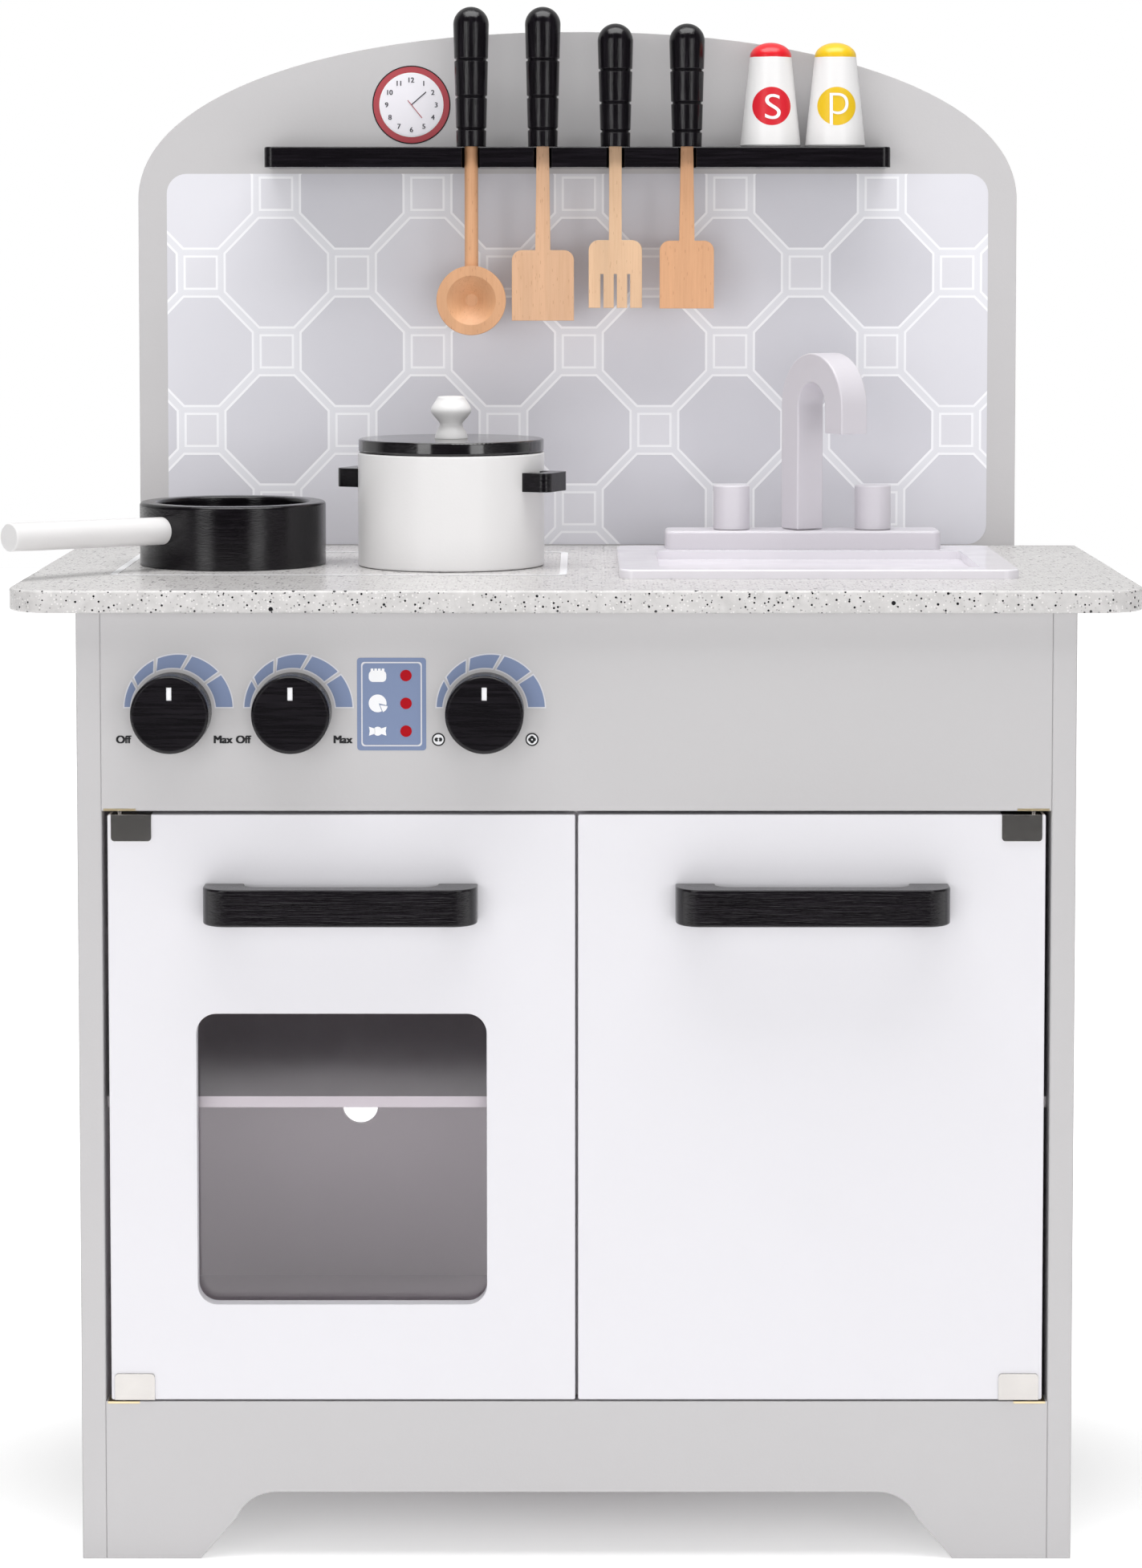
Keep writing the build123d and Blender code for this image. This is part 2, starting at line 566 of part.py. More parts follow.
WINDOW_X_SPAN = (-200.8, -47.5)
WINDOW_Z_SPAN = (137.3, 293.1)
WINDOW_CORNER = 10.5
WINDOW_LEDGE = 11
PANE_THICK = 3
PANE_GAP = 0.5
REBATE_DEPTH = 4
REBATE_FRONT = DOOR_BACK - REBATE_DEPTH
WINDOW_MID = (sum(WINDOW_X_SPAN) / 2, sum(WINDOW_Z_SPAN) / 2)
WINDOW_SIZE = (WINDOW_X_SPAN[1] - WINDOW_X_SPAN[0], WINDOW_Z_SPAN[1] - WINDOW_Z_SPAN[0])
REBATE_SIZE = (WINDOW_SIZE[0] + 2 * WINDOW_LEDGE, WINDOW_SIZE[1] + 2 * WINDOW_LEDGE)
PANE_SCREW_RADIUS = 1.3
PANE_SCREW_LENGTH = 8
PANE_SCREW_HEAD_RADIUS = 2.8
PANE_SCREW_HEAD_HEIGHT = 1.6
PANE_SCREW_SPOTS = [
    (WINDOW_MID[0] + column * (WINDOW_SIZE[0] + WINDOW_LEDGE) / 2,
     WINDOW_MID[1] + row * (WINDOW_SIZE[1] + WINDOW_LEDGE) / 2)
    for column in (-1, 0, 1) for row in (-1, 0, 1) if column or row
]

HANDLE_MID_X = 124
HANDLE_WIDTH = 144
HANDLE_DEPTH = 22
HANDLE_Z_SPAN = (343, 362.5)
HANDLE_CORNER = 13.5
HANDLE_FOOT = 21
HANDLE_HOLLOW = 11
HANDLE_SCREW_LENGTH = 28
HANDLE_MID_Z = sum(HANDLE_Z_SPAN) / 2
HANDLE_SCREW_OFFSET = HANDLE_WIDTH / 2 - HANDLE_FOOT / 2

STRIKE_RADIUS = 6

DOORS = ((-1, "oven"), (1, "cupboard"))


def handle_screw_spots(side):
    """Where the two handle screws of one door start, on the back of the door."""
    return [(side * HANDLE_MID_X + end * HANDLE_SCREW_OFFSET, DOOR_BACK, HANDLE_MID_Z)
            for end in SIDES]


for side, name in DOORS:
    with BuildPart() as door:
        block((side * DOOR_INNER_X, side * DOOR_OUTER_X), (DOOR_FRONT, DOOR_BACK),
              (DOOR_BASE, DOOR_TOP))
        fillet(door.edges().filter_by(Axis.Y), EDGE_ROUND)
        fillet(door.faces().sort_by(Axis.Y)[0].edges(), EDGE_ROUND / 2)
        for cap_base in (DOOR_BASE, DOOR_TOP - CAP_SHEET):
            block([side * x for x in CAP_X_SPAN], (DOOR_FRONT, DOOR_BACK),
                  (cap_base, cap_base + CAP_SHEET), mode=Mode.SUBTRACT)
        for pin_end, direction in ((DOOR_TOP, -1), (DOOR_BASE, 1)):
            rod((side * HINGE_X, HINGE_Y, pin_end), (0, 0, direction), PIN_RADIUS + SCREW_GAP,
                PIN_IN_DOOR + REST_GAP, mode=Mode.SUBTRACT)
        for centre in handle_screw_spots(side):
            flush_screw_hole(centre, (0, -1, 0), HANDLE_SCREW_LENGTH)
        if name == "oven":
            with BuildSketch(Plane.XZ.offset(-DOOR_BACK)):
                with Locations(WINDOW_MID):
                    RectangleRounded(*WINDOW_SIZE, WINDOW_CORNER)
            extrude(amount=BOARD, mode=Mode.SUBTRACT)
            with BuildSketch(Plane.XZ.offset(-DOOR_BACK)):
                with Locations(WINDOW_MID):
                    RectangleRounded(*REBATE_SIZE, WINDOW_CORNER)
            extrude(amount=REBATE_DEPTH, mode=Mode.SUBTRACT)
            for x, z in PANE_SCREW_SPOTS:
                rod((x, REBATE_FRONT, z), (0, -1, 0), PANE_SCREW_RADIUS + SCREW_GAP,
                    PANE_SCREW_LENGTH - PANE_THICK + SCREW_GAP, mode=Mode.SUBTRACT)
    finish(door, f"{name}_door")

    with BuildPart() as handle:
        with BuildSketch(Plane.XY.offset(HANDLE_Z_SPAN[0])):
            with Locations((side * HANDLE_MID_X, DOOR_FRONT - HANDLE_DEPTH / 2)):
                Rectangle(HANDLE_WIDTH, HANDLE_DEPTH)
            fillet(vertices().group_by(Axis.Y)[0], HANDLE_CORNER)
        extrude(amount=HANDLE_Z_SPAN[1] - HANDLE_Z_SPAN[0])
        with BuildSketch(Plane.XY.offset(HANDLE_Z_SPAN[0])):
            with Locations((side * HANDLE_MID_X, DOOR_FRONT - HANDLE_HOLLOW / 2)):
                Rectangle(HANDLE_WIDTH - 2 * HANDLE_FOOT, HANDLE_HOLLOW)
            fillet(vertices().group_by(Axis.Y)[0], HANDLE_HOLLOW * 0.8)
        extrude(amount=HANDLE_Z_SPAN[1] - HANDLE_Z_SPAN[0], mode=Mode.SUBTRACT)
        fillet(handle.faces().filter_by(Axis.Z).edges(), EDGE_ROUND)
        for centre in handle_screw_spots(side):
            flush_screw_hole(centre, (0, -1, 0), HANDLE_SCREW_LENGTH)
    finish(handle, f"{name}_door_handle")

    with BuildPart() as handle_screws:
        for centre in handle_screw_spots(side):
            flush_screw(centre, (0, -1, 0), HANDLE_SCREW_LENGTH)
    finish(handle_screws, f"{name}_handle_screws")

    cap_front = DOOR_FRONT - CAP_SHEET
    cap_back = DOOR_BACK + CAP_SHEET
    with BuildPart() as hinge_caps:
        for edge, inward in ((DOOR_TOP, -1), (DOOR_BASE, 1)):
            with BuildSketch(Plane.XZ.offset(-cap_back)):
                with Locations((side * sum(CAP_X_SPAN) / 2, edge + inward * CAP_DROP / 2)):
                    Rectangle(CAP_X_SPAN[1] - CAP_X_SPAN[0], CAP_DROP)
                fillet(vertices().group_by(Axis.Y)[0 if inward < 0 else -1], 2)
            extrude(amount=cap_back - cap_front)
            block([side * x for x in CAP_X_SPAN], (DOOR_FRONT, DOOR_BACK),
                  (edge + inward * CAP_SHEET, edge + inward * CAP_DROP), mode=Mode.SUBTRACT)
        rod((side * HINGE_X, HINGE_Y, DOOR_BASE), (0, 0, 1), PIN_RADIUS + SCREW_GAP,
            DOOR_TOP - DOOR_BASE, mode=Mode.SUBTRACT)
    finish(hinge_caps, f"{name}_hinge_caps")

    pin_length = PIN_IN_DOOR + PIN_REACH
    with BuildPart() as hinge_pins:
        rod((side * HINGE_X, HINGE_Y, DOOR_TOP - PIN_IN_DOOR), (0, 0, 1), PIN_RADIUS, pin_length)
        rod((side * HINGE_X, HINGE_Y, DOOR_BASE + PIN_IN_DOOR), (0, 0, -1), PIN_RADIUS,
            pin_length)
    finish(hinge_pins, f"{name}_hinge_pins")

    with BuildPart() as strike_plate:
        rod((side * CATCH_MID_X, DOOR_BACK, CATCH_MID_Z), (0, 1, 0), STRIKE_RADIUS, STRIKE_THICK)
        rod((side * CATCH_MID_X, DOOR_BACK + STRIKE_THICK, CATCH_MID_Z), (0, -1, 0),
            PANE_SCREW_RADIUS, STRIKE_THICK / 2, mode=Mode.SUBTRACT)
    finish(strike_plate, f"{name}_strike_plate")

with BuildPart() as oven_window:
    with BuildSketch(Plane.XZ.offset(-(REBATE_FRONT + PANE_THICK))):
        with Locations(WINDOW_MID):
            RectangleRounded(REBATE_SIZE[0] - 2 * PANE_GAP, REBATE_SIZE[1] - 2 * PANE_GAP,
                             WINDOW_CORNER)
    extrude(amount=PANE_THICK)
    for x, z in PANE_SCREW_SPOTS:
        rod((x, REBATE_FRONT, z), (0, 1, 0), PANE_SCREW_RADIUS + SCREW_GAP, PANE_THICK,
            mode=Mode.SUBTRACT)
finish(oven_window, "oven_window")

with BuildPart() as window_screws:
    for x, z in PANE_SCREW_SPOTS:
        head_base = REBATE_FRONT + PANE_THICK
        rod((x, head_base, z), (0, -1, 0), PANE_SCREW_RADIUS, PANE_SCREW_LENGTH)
        rod((x, head_base, z), (0, 1, 0), PANE_SCREW_HEAD_RADIUS, PANE_SCREW_HEAD_HEIGHT)
        block((x - RECESS_WIDTH / 2, x + RECESS_WIDTH / 2),
              (head_base + PANE_SCREW_HEAD_HEIGHT / 2, head_base + PANE_SCREW_HEAD_HEIGHT),
              (z - RECESS_LENGTH / 2, z + RECESS_LENGTH / 2), mode=Mode.SUBTRACT)
finish(window_screws, "window_screws")

# ---------------------------------------------------------------- pot with its lid

POT_SPOT = (-71, FRONT + 161)
POT_RADIUS = 52.5
POT_HEIGHT = 63.7
POT_WALL = 7
POT_FLOOR = 7
POT_BASE = WORKTOP_TOP + REST_GAP
POT_TOP = POT_BASE + POT_HEIGHT
EAR_TURN = -24
EAR_WIDTH = 28
EAR_DEPTH = 14
EAR_HEIGHT = 10.5
EAR_MID_Z = WORKTOP_TOP + 48.6
EAR_CORNER = 5
EAR_GAP_WIDTH = 12
EAR_GAP_DEPTH = 5

with BuildPart() as pot_body:
    rod((*POT_SPOT, POT_BASE), (0, 0, 1), POT_RADIUS, POT_HEIGHT)
    rod((*POT_SPOT, POT_BASE + POT_FLOOR), (0, 0, 1), POT_RADIUS - POT_WALL, POT_HEIGHT,
        mode=Mode.SUBTRACT)
    fillet(pot_body.edges().filter_by(GeomType.CIRCLE), EDGE_ROUND)
finish(pot_body, "pot_body")

with BuildPart() as pot_handles:
    for half_turn in (0, 180):
        ear_plane = Plane.XY.offset(EAR_MID_Z - EAR_HEIGHT / 2)
        with BuildSketch(ear_plane.move(Location((*POT_SPOT, 0), (0, 0, EAR_TURN + half_turn)))):
            with Locations((POT_RADIUS + EAR_DEPTH / 2, 0)):
                Rectangle(EAR_DEPTH, EAR_WIDTH)
            fillet(vertices().group_by(Axis.X)[-1], EAR_CORNER)
            with Locations((POT_RADIUS - EAR_GAP_DEPTH / 2, 0)):
                Rectangle(EAR_GAP_DEPTH, EAR_WIDTH)
            with Locations((POT_RADIUS, 0)):
                Rectangle(2 * EAR_GAP_DEPTH, EAR_GAP_WIDTH, mode=Mode.SUBTRACT)
        extrude(amount=EAR_HEIGHT)
    rod((*POT_SPOT, POT_BASE), (0, 0, 1), POT_RADIUS, POT_HEIGHT, mode=Mode.SUBTRACT)
finish(pot_handles, "pot_handles")

LID_RADIUS = 52.2
LID_THICK = 7.2
LID_BASE = POT_TOP + REST_GAP
LID_TOP = LID_BASE + LID_THICK
LID_PLUG_RADIUS = POT_RADIUS - POT_WALL - 0.8
LID_PLUG_DEPTH = 4
LID_TENON_RADIUS = 4

with BuildPart() as pot_lid:
    rod((*POT_SPOT, LID_BASE), (0, 0, 1), LID_RADIUS, LID_THICK)
    fillet(pot_lid.edges().filter_by(GeomType.CIRCLE), EDGE_ROUND)
    rod((*POT_SPOT, LID_BASE), (0, 0, -1), LID_PLUG_RADIUS, LID_PLUG_DEPTH)
    rod((*POT_SPOT, LID_TOP), (0, 0, -1), LID_TENON_RADIUS, LID_THICK, mode=Mode.SUBTRACT)
finish(pot_lid, "pot_lid")

LID_KNOB_HEIGHT = 24
LID_KNOB_FOOT = 9.3
LID_KNOB_NECK = 6.5
LID_KNOB_WIDEST = 11.45
NECK_HEIGHT = 8.5
WIDEST_HEIGHT = 16
LID_KNOB_SHOULDER = 8.4
SHOULDER_HEIGHT = 21.8

with BuildPart() as lid_knob:
    with BuildSketch(Plane.XZ):
        with BuildLine():
            Line((0, -LID_THICK), (LID_TENON_RADIUS, -LID_THICK))
            Line((LID_TENON_RADIUS, -LID_THICK), (LID_TENON_RADIUS, 0))
            Line((LID_TENON_RADIUS, 0), (LID_KNOB_FOOT, 0))
            Spline([(LID_KNOB_FOOT, 0), (LID_KNOB_NECK, NECK_HEIGHT),
                    (LID_KNOB_WIDEST, WIDEST_HEIGHT), (LID_KNOB_SHOULDER, SHOULDER_HEIGHT),
                    (0, LID_KNOB_HEIGHT)], tangents=[(-0.1, 1), (-1, 0)])
            Line((0, LID_KNOB_HEIGHT), (0, -LID_THICK))
        make_face()
    revolve(axis=Axis.Z)
lid_knob.part.locate(Location((*POT_SPOT, LID_TOP)))
finish(lid_knob, "lid_knob")

# ---------------------------------------------------------------- pan

PAN_SPOT = (-195, FRONT + 168.7)
PAN_RADIUS = 52.5
PAN_HEIGHT = 35.3
PAN_WALL = 10
PAN_FLOOR = 8
PAN_ROUND = 2
PAN_BASE = WORKTOP_TOP + REST_GAP
PAN_HANDLE_TURN = 226.5
PAN_HANDLE_RISE = 1.2
PAN_HANDLE_RADIUS = 7.7
PAN_HANDLE_END = 159
PAN_HANDLE_START = PAN_RADIUS - 7
PAN_HANDLE_Z = WORKTOP_TOP + 21.3

pan_reach = (cos(radians(PAN_HANDLE_TURN)), sin(radians(PAN_HANDLE_TURN)),
             sin(radians(PAN_HANDLE_RISE)))
handle_start = (PAN_SPOT[0] + PAN_HANDLE_START * pan_reach[0],
                PAN_SPOT[1] + PAN_HANDLE_START * pan_reach[1], PAN_HANDLE_Z)
handle_length = PAN_HANDLE_END - PAN_HANDLE_START

with BuildPart() as pan_body:
    rod((*PAN_SPOT, PAN_BASE), (0, 0, 1), PAN_RADIUS, PAN_HEIGHT)
    rod((*PAN_SPOT, PAN_BASE + PAN_FLOOR), (0, 0, 1), PAN_RADIUS - PAN_WALL, PAN_HEIGHT,
        mode=Mode.SUBTRACT)
    fillet(pan_body.edges().filter_by(GeomType.CIRCLE).group_by(Axis.Z)[-1], PAN_ROUND)
    rod(handle_start, pan_reach, PAN_HANDLE_RADIUS, handle_length, mode=Mode.SUBTRACT)
finish(pan_body, "pan_body")

with BuildPart() as pan_handle:
    rod(handle_start, pan_reach, PAN_HANDLE_RADIUS, handle_length)
    fillet(pan_handle.edges().filter_by(GeomType.CIRCLE), EDGE_ROUND)
finish(pan_handle, "pan_handle")

# ---------------------------------------------------------------- utensils

GRIP_BASE = RACK_TOP + REST_GAP
GRIP_BASE_RADIUS = 8.7
GRIP_WIDEST = 10.5
GROOVE_SPOTS = (0.38, 0.645, 0.875)
GROOVE_SLOPE = 0.85
GROOVE_DEPTH = 1.2
GROOVE_REACH = 3
TENON_LENGTH = 20
UTENSIL_THICK = 5
SHAFT_TOP_WIDTH = 7.4
SHAFT_RADIUS = 4

TALL_GRIP = TOTAL_HEIGHT - GRIP_BASE
SHORT_GRIP = TALL_GRIP - 9.8


def grip(height):
    """A turned grip with a domed top and three V grooves, standing on the origin."""
    dome_start = height - GRIP_WIDEST
    with BuildSketch(Plane.XZ) as profile:
        with BuildLine():
            Line((0, 0), (GRIP_BASE_RADIUS, 0))
            Line((GRIP_BASE_RADIUS, 0), (GRIP_WIDEST, dome_start))
            CenterArc((0, dome_start), GRIP_WIDEST, 0, 90)
            Line((0, height), (0, 0))
        make_face()
        for spot in GROOVE_SPOTS:
            groove_z = height * (1 - spot)
            radius = GRIP_BASE_RADIUS + (GRIP_WIDEST - GRIP_BASE_RADIUS) * groove_z / dome_start
            bottom = radius - GROOVE_DEPTH
            half_mouth = GROOVE_REACH * GROOVE_SLOPE
            Polygon((bottom, groove_z), (bottom + GROOVE_REACH, groove_z - half_mouth),
                    (bottom + GROOVE_REACH, groove_z + half_mouth), align=None,
                    mode=Mode.SUBTRACT)
    revolve(profile.sketch, axis=Axis.Z)


def flat_tenon(x, y, z, mode):
    """The end of a flat utensil's shaft, inside its grip."""
    block((x - SHAFT_TOP_WIDTH / 2, x + SHAFT_TOP_WIDTH / 2),
          (y - UTENSIL_THICK / 2, y + UTENSIL_THICK / 2), (z, z + TENON_LENGTH), mode=mode)


for name, utensil_x in UTENSIL_X.items():
    with BuildPart() as utensil_grip:
        grip(TALL_GRIP if name in ("ladle", "spatula") else SHORT_GRIP)
        if name == "ladle":
            rod((0, 0, 0), (0, 0, 1), SHAFT_RADIUS, TENON_LENGTH, mode=Mode.SUBTRACT)
        else:
            flat_tenon(0, 0, 0, Mode.SUBTRACT)
    utensil_grip.part.locate(Location((utensil_x, UTENSIL_Y, GRIP_BASE)))
    finish(utensil_grip, f"{name}_grip")

BOWL_MID_Z = 665.8
BOWL_RADIUS = 20.5
BOWL_DEPTH = 15
HOLLOW_RADIUS = 14.5
HOLLOW_DEPTH = 9

with BuildPart() as ladle:
    rod((UTENSIL_X["ladle"], UTENSIL_Y, BOWL_MID_Z), (0, 0, 1), SHAFT_RADIUS,
        GRIP_BASE + TENON_LENGTH - BOWL_MID_Z)
    with Locations(Plane(origin=(UTENSIL_X["ladle"], UTENSIL_Y - BOWL_DEPTH / 2, BOWL_MID_Z),
                         z_dir=(0, 1, 0))):
        Cone(BOWL_RADIUS, BOWL_RADIUS * 0.7, BOWL_DEPTH, align=STANDING)
        Cone(HOLLOW_RADIUS, HOLLOW_RADIUS / 4, HOLLOW_DEPTH, align=STANDING, mode=Mode.SUBTRACT)
finish(ladle, "ladle")

BLADES = {
    "spatula": {"width": 36.7, "base": 653.8, "height": 41.6, "shaft_foot": 9.4},
    "fork": {"width": 31.5, "base": 661.3, "height": 40.0, "shaft_foot": 7.6},
    "turner": {"width": 32.0, "base": 661.0, "height": 40.0, "shaft_foot": 9.6},
}
BLADE_SHOULDER = 6
FORK_SLOT_WIDTH = 1.8
FORK_SLOT_LENGTH = 20
FORK_PITCH = 7.9

for name, blade in BLADES.items():
    utensil_x = UTENSIL_X[name]
    with BuildPart() as flat_utensil:
        with BuildSketch(Plane.XZ.offset(-(UTENSIL_Y + UTENSIL_THICK / 2))):
            with Locations((utensil_x, blade["base"] + blade["height"] / 2)):
                Rectangle(blade["width"], blade["height"])
            fillet(vertices().group_by(Axis.Y)[-1], BLADE_SHOULDER)
            shaft_base = blade["base"] + blade["height"] / 2
            half_foot = blade["shaft_foot"] / 2
            Polygon((utensil_x - half_foot, shaft_base), (utensil_x + half_foot, shaft_base),
                    (utensil_x + SHAFT_TOP_WIDTH / 2, GRIP_BASE),
                    (utensil_x - SHAFT_TOP_WIDTH / 2, GRIP_BASE), align=None)
            if name == "fork":
                for slot in (-1, 0, 1):
                    with Locations((utensil_x + slot * FORK_PITCH,
                                    blade["base"] + FORK_SLOT_LENGTH / 2)):
                        Rectangle(FORK_SLOT_WIDTH, FORK_SLOT_LENGTH, mode=Mode.SUBTRACT)
        extrude(amount=UTENSIL_THICK)
        flat_tenon(utensil_x, UTENSIL_Y, GRIP_BASE, Mode.ADD)
    finish(flat_utensil, name)

# ---------------------------------------------------------------- salt and pepper shakers

SHAKER_X = {"salt_shaker": 114.3, "pepper_shaker": 152.6}
SHAKER_Y = RACK_FRONT + 22
SHAKER_BASE_RADIUS = 17.85
SHAKER_NECK_RADIUS = 12.25
SHAKER_BODY_HEIGHT = 53.3
SHAKER_HEIGHT = 61.5
DOME_FULLNESS = 0.552

for name, shaker_x in SHAKER_X.items():
    with BuildPart() as shaker:
        with BuildSketch(Plane.XZ):
            with BuildLine():
                Line((0, 0), (SHAKER_BASE_RADIUS - EDGE_ROUND, 0))
                Line((SHAKER_BASE_RADIUS - EDGE_ROUND, 0), (SHAKER_BASE_RADIUS, EDGE_ROUND))
                Line((SHAKER_BASE_RADIUS, EDGE_ROUND), (SHAKER_NECK_RADIUS, SHAKER_BODY_HEIGHT))
                dome = SHAKER_HEIGHT - SHAKER_BODY_HEIGHT
                Bezier((SHAKER_NECK_RADIUS, SHAKER_BODY_HEIGHT),
                       (SHAKER_NECK_RADIUS, SHAKER_BODY_HEIGHT + DOME_FULLNESS * dome),
                       (DOME_FULLNESS * SHAKER_NECK_RADIUS, SHAKER_HEIGHT), (0, SHAKER_HEIGHT))
                Line((0, SHAKER_HEIGHT), (0, 0))
            make_face()
        revolve(axis=Axis.Z)
    shaker.part.locate(Location((shaker_x, SHAKER_Y, GRIP_BASE)))
    finish(shaker, name)
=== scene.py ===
"""Looks for the wooden toy kitchen: finishes on the CAD pieces, prints, light and camera."""

from math import atan2, cos, radians, sin, sqrt

import bpy
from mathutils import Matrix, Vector


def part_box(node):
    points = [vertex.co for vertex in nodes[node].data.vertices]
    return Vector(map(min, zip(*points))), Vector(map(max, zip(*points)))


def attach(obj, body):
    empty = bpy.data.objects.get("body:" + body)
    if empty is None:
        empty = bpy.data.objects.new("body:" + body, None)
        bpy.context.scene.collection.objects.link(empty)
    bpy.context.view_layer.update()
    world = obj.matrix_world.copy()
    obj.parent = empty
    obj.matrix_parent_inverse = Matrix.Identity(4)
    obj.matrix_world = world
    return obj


MM = 0.001
PRINT_LIFT = 0.12 * MM  # how far each layer of ink stands off the layer below it
STACKED = 5  # shapes of one print that get a height of their own within its layer

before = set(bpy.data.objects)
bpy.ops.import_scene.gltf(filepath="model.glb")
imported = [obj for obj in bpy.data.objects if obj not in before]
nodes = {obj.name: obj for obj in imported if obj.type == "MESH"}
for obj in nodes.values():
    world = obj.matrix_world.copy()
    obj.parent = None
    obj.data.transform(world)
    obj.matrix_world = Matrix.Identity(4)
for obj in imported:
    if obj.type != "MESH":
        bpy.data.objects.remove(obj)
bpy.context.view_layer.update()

# ---------------------------------------------------------------- sizes read from the frame

top_low, top_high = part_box("worktop")

SPLASH_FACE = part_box("splashback")[0].y
FASCIA_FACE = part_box("control_fascia")[0].y
WORKTOP_FRONT = top_low.y
WORKTOP_Z = top_high.z


# ---------------------------------------------------------------- shader helpers

def add_node(tree, kind, inputs=None, **settings):
    """One shader node. Inputs are numbers, colours or sockets to link from."""
    made = tree.nodes.new(kind)
    for key, value in settings.items():
        setattr(made, key, value)
    for key, value in (inputs or {}).items():
        if isinstance(value, bpy.types.NodeSocket):
            tree.links.new(value, made.inputs[key])
        else:
            made.inputs[key].default_value = value
    return made


def calc(tree, operation, first, second=0.0, third=0.0):
    """The result of a math node."""
    return add_node(tree, "ShaderNodeMath", {0: first, 1: second, 2: third},
                    operation=operation).outputs[0]


def mix_colour(tree, share, first, second):
    """first where share is 0, second where it is 1."""
    mixer = add_node(tree, "ShaderNodeMix", {0: share, 6: first, 7: second}, data_type="RGBA")
    return mixer.outputs[2]


def ramp(tree, value, low, high):
    """value from low to high, as 0 to 1, held at the ends."""
    return add_node(tree, "ShaderNodeMapRange",
                    {"Value": value, "From Min": low, "From Max": high}).outputs[0]


def spread_to(tree, value, low, high):
    """A value from 0 to 1 turned into one from low to high."""
    return add_node(tree, "ShaderNodeMapRange",
                    {"Value": value, "To Min": low, "To Max": high}).outputs[0]


def opaque(colour):
    """A colour with its alpha."""
    return (*colour, 1.0)


def scaled(colour, factor):
    """A lighter or darker version of a colour."""
    return tuple(channel * factor for channel in colour)


def start_material(name):
    """An empty material and the place coordinates its patterns use, in metres."""
    material = bpy.data.materials.new(name)
    material.use_nodes = True
    tree = material.node_tree
    tree.nodes.clear()
    place = add_node(tree, "ShaderNodeTexCoord").outputs["Object"]
    return material, tree, place


def stretched(tree, place, stretch):
    """The place coordinates scaled along each axis, for grain that runs one way."""
    return add_node(tree, "ShaderNodeMapping", {"Vector": place, "Scale": stretch}).outputs[0]


def noise(tree, place, scale, detail=3.0, roughness=0.5):
    """A noise value from 0 to 1."""
    return add_node(tree, "ShaderNodeTexNoise", {
        "Vector": place, "Scale": scale, "Detail": detail, "Roughness": roughness,
    }).outputs["Fac"]


def end_material(material, colour, roughness, height=None, depth=0.05 * MM, edge=0.6 * MM,
                 **surface):
    """Join the surface shader: colour, gloss, bumps and softly rounded edges."""
    tree = material.node_tree
    normal = add_node(tree, "ShaderNodeBevel", {"Radius": edge}, samples=4).outputs[0]
    if height is not None:
        normal = add_node(tree, "ShaderNodeBump", {
            "Height": height, "Distance": depth, "Strength": 1.0, "Normal": normal,
        }).outputs[0]
    inputs = {"Base Color": colour, "Roughness": roughness, "Normal": normal}
    inputs.update(surface)
    shader = add_node(tree, "ShaderNodeBsdfPrincipled", inputs)
    add_node(tree, "ShaderNodeOutputMaterial", {"Surface": shader.outputs[0]})
    return material


# ---------------------------------------------------------------- colours and finishes

GREY = (0.530, 0.519, 0.526)
INSIDE = (0.90, 0.86, 0.885)
WHITE_DOOR = (0.75, 0.74, 0.775)
WHITE_WOOD = (0.77, 0.76, 0.76)
BLACK = (0.0036, 0.0029, 0.0040)
SILVER = (0.615, 0.59, 0.63)
BASIN_SILVER = (0.80, 0.775, 0.82)
BEECH = (0.71, 0.435, 0.265)
ORANGE_BEECH = (0.69, 0.375, 0.20)
PALE_BEECH = (0.74, 0.49, 0.305)
STONE = (0.60, 0.585, 0.58)
PRINT_BLUE = (0.19, 0.245, 0.395)
PRINT_PALE = (0.66, 0.66, 0.70)
PRINT_WHITE = (0.86, 0.86, 0.88)
RED = (0.40, 0.008, 0.014)
SALT_RED = (0.66, 0.012, 0.02)
YELLOW = (0.74, 0.48, 0.012)
INK = (0.012, 0.012, 0.014)
TILE_DARK = (0.595, 0.59, 0.64)
TILE_LIGHT = (0.71, 0.705, 0.755)
SMALL_TILE_COLOUR = (0.70, 0.695, 0.74)
TILE_CLOUD = (0.84, 0.835, 0.87)
TILE_OUTLINE = (0.90, 0.90, 0.93)
TILE_GROUT = (0.76, 0.76, 0.80)


def painted(name, colour, roughness, peel=0.04 * MM, edge=0.6 * MM, specular=0.5):
    """Sprayed paint on board: faint cloudiness, orange peel and uneven gloss."""
    material, tree, place = start_material(name)
    cloud = noise(tree, place, 7.0, 2.0)
    tint = mix_colour(tree, cloud, opaque(scaled(colour, 0.985)), opaque(scaled(colour, 1.015)))
    gloss = spread_to(tree, noise(tree, place, 60.0, 2.0), roughness - 0.05, roughness + 0.05)
    return end_material(material, tint, gloss, noise(tree, place, 700.0, 2.0), peel, edge,
                        **{"Specular IOR Level": specular})


def black_gloss(name, stretch, grain_depth=0.10 * MM, shine=(0.08, 0.24), specular=0.4):
    """Black lacquer sunk into the grain, which runs along the axis with the smallest stretch."""
    material, tree, place = start_material(name)
    along = stretched(tree, place, stretch)
    coarse = noise(tree, along, 700.0, 4.0, 0.65)
    fine = noise(tree, along, 2400.0, 2.0)
    height = calc(tree, "ADD", coarse, calc(tree, "MULTIPLY", fine, 0.5))
    tint = mix_colour(tree, ramp(tree, coarse, 0.45, 0.75), opaque(BLACK),
                      opaque(scaled(BLACK, 3.0)))
    gloss = spread_to(tree, coarse, *shine)
    return end_material(material, tint, gloss, height, grain_depth,
                        **{"Specular IOR Level": specular})


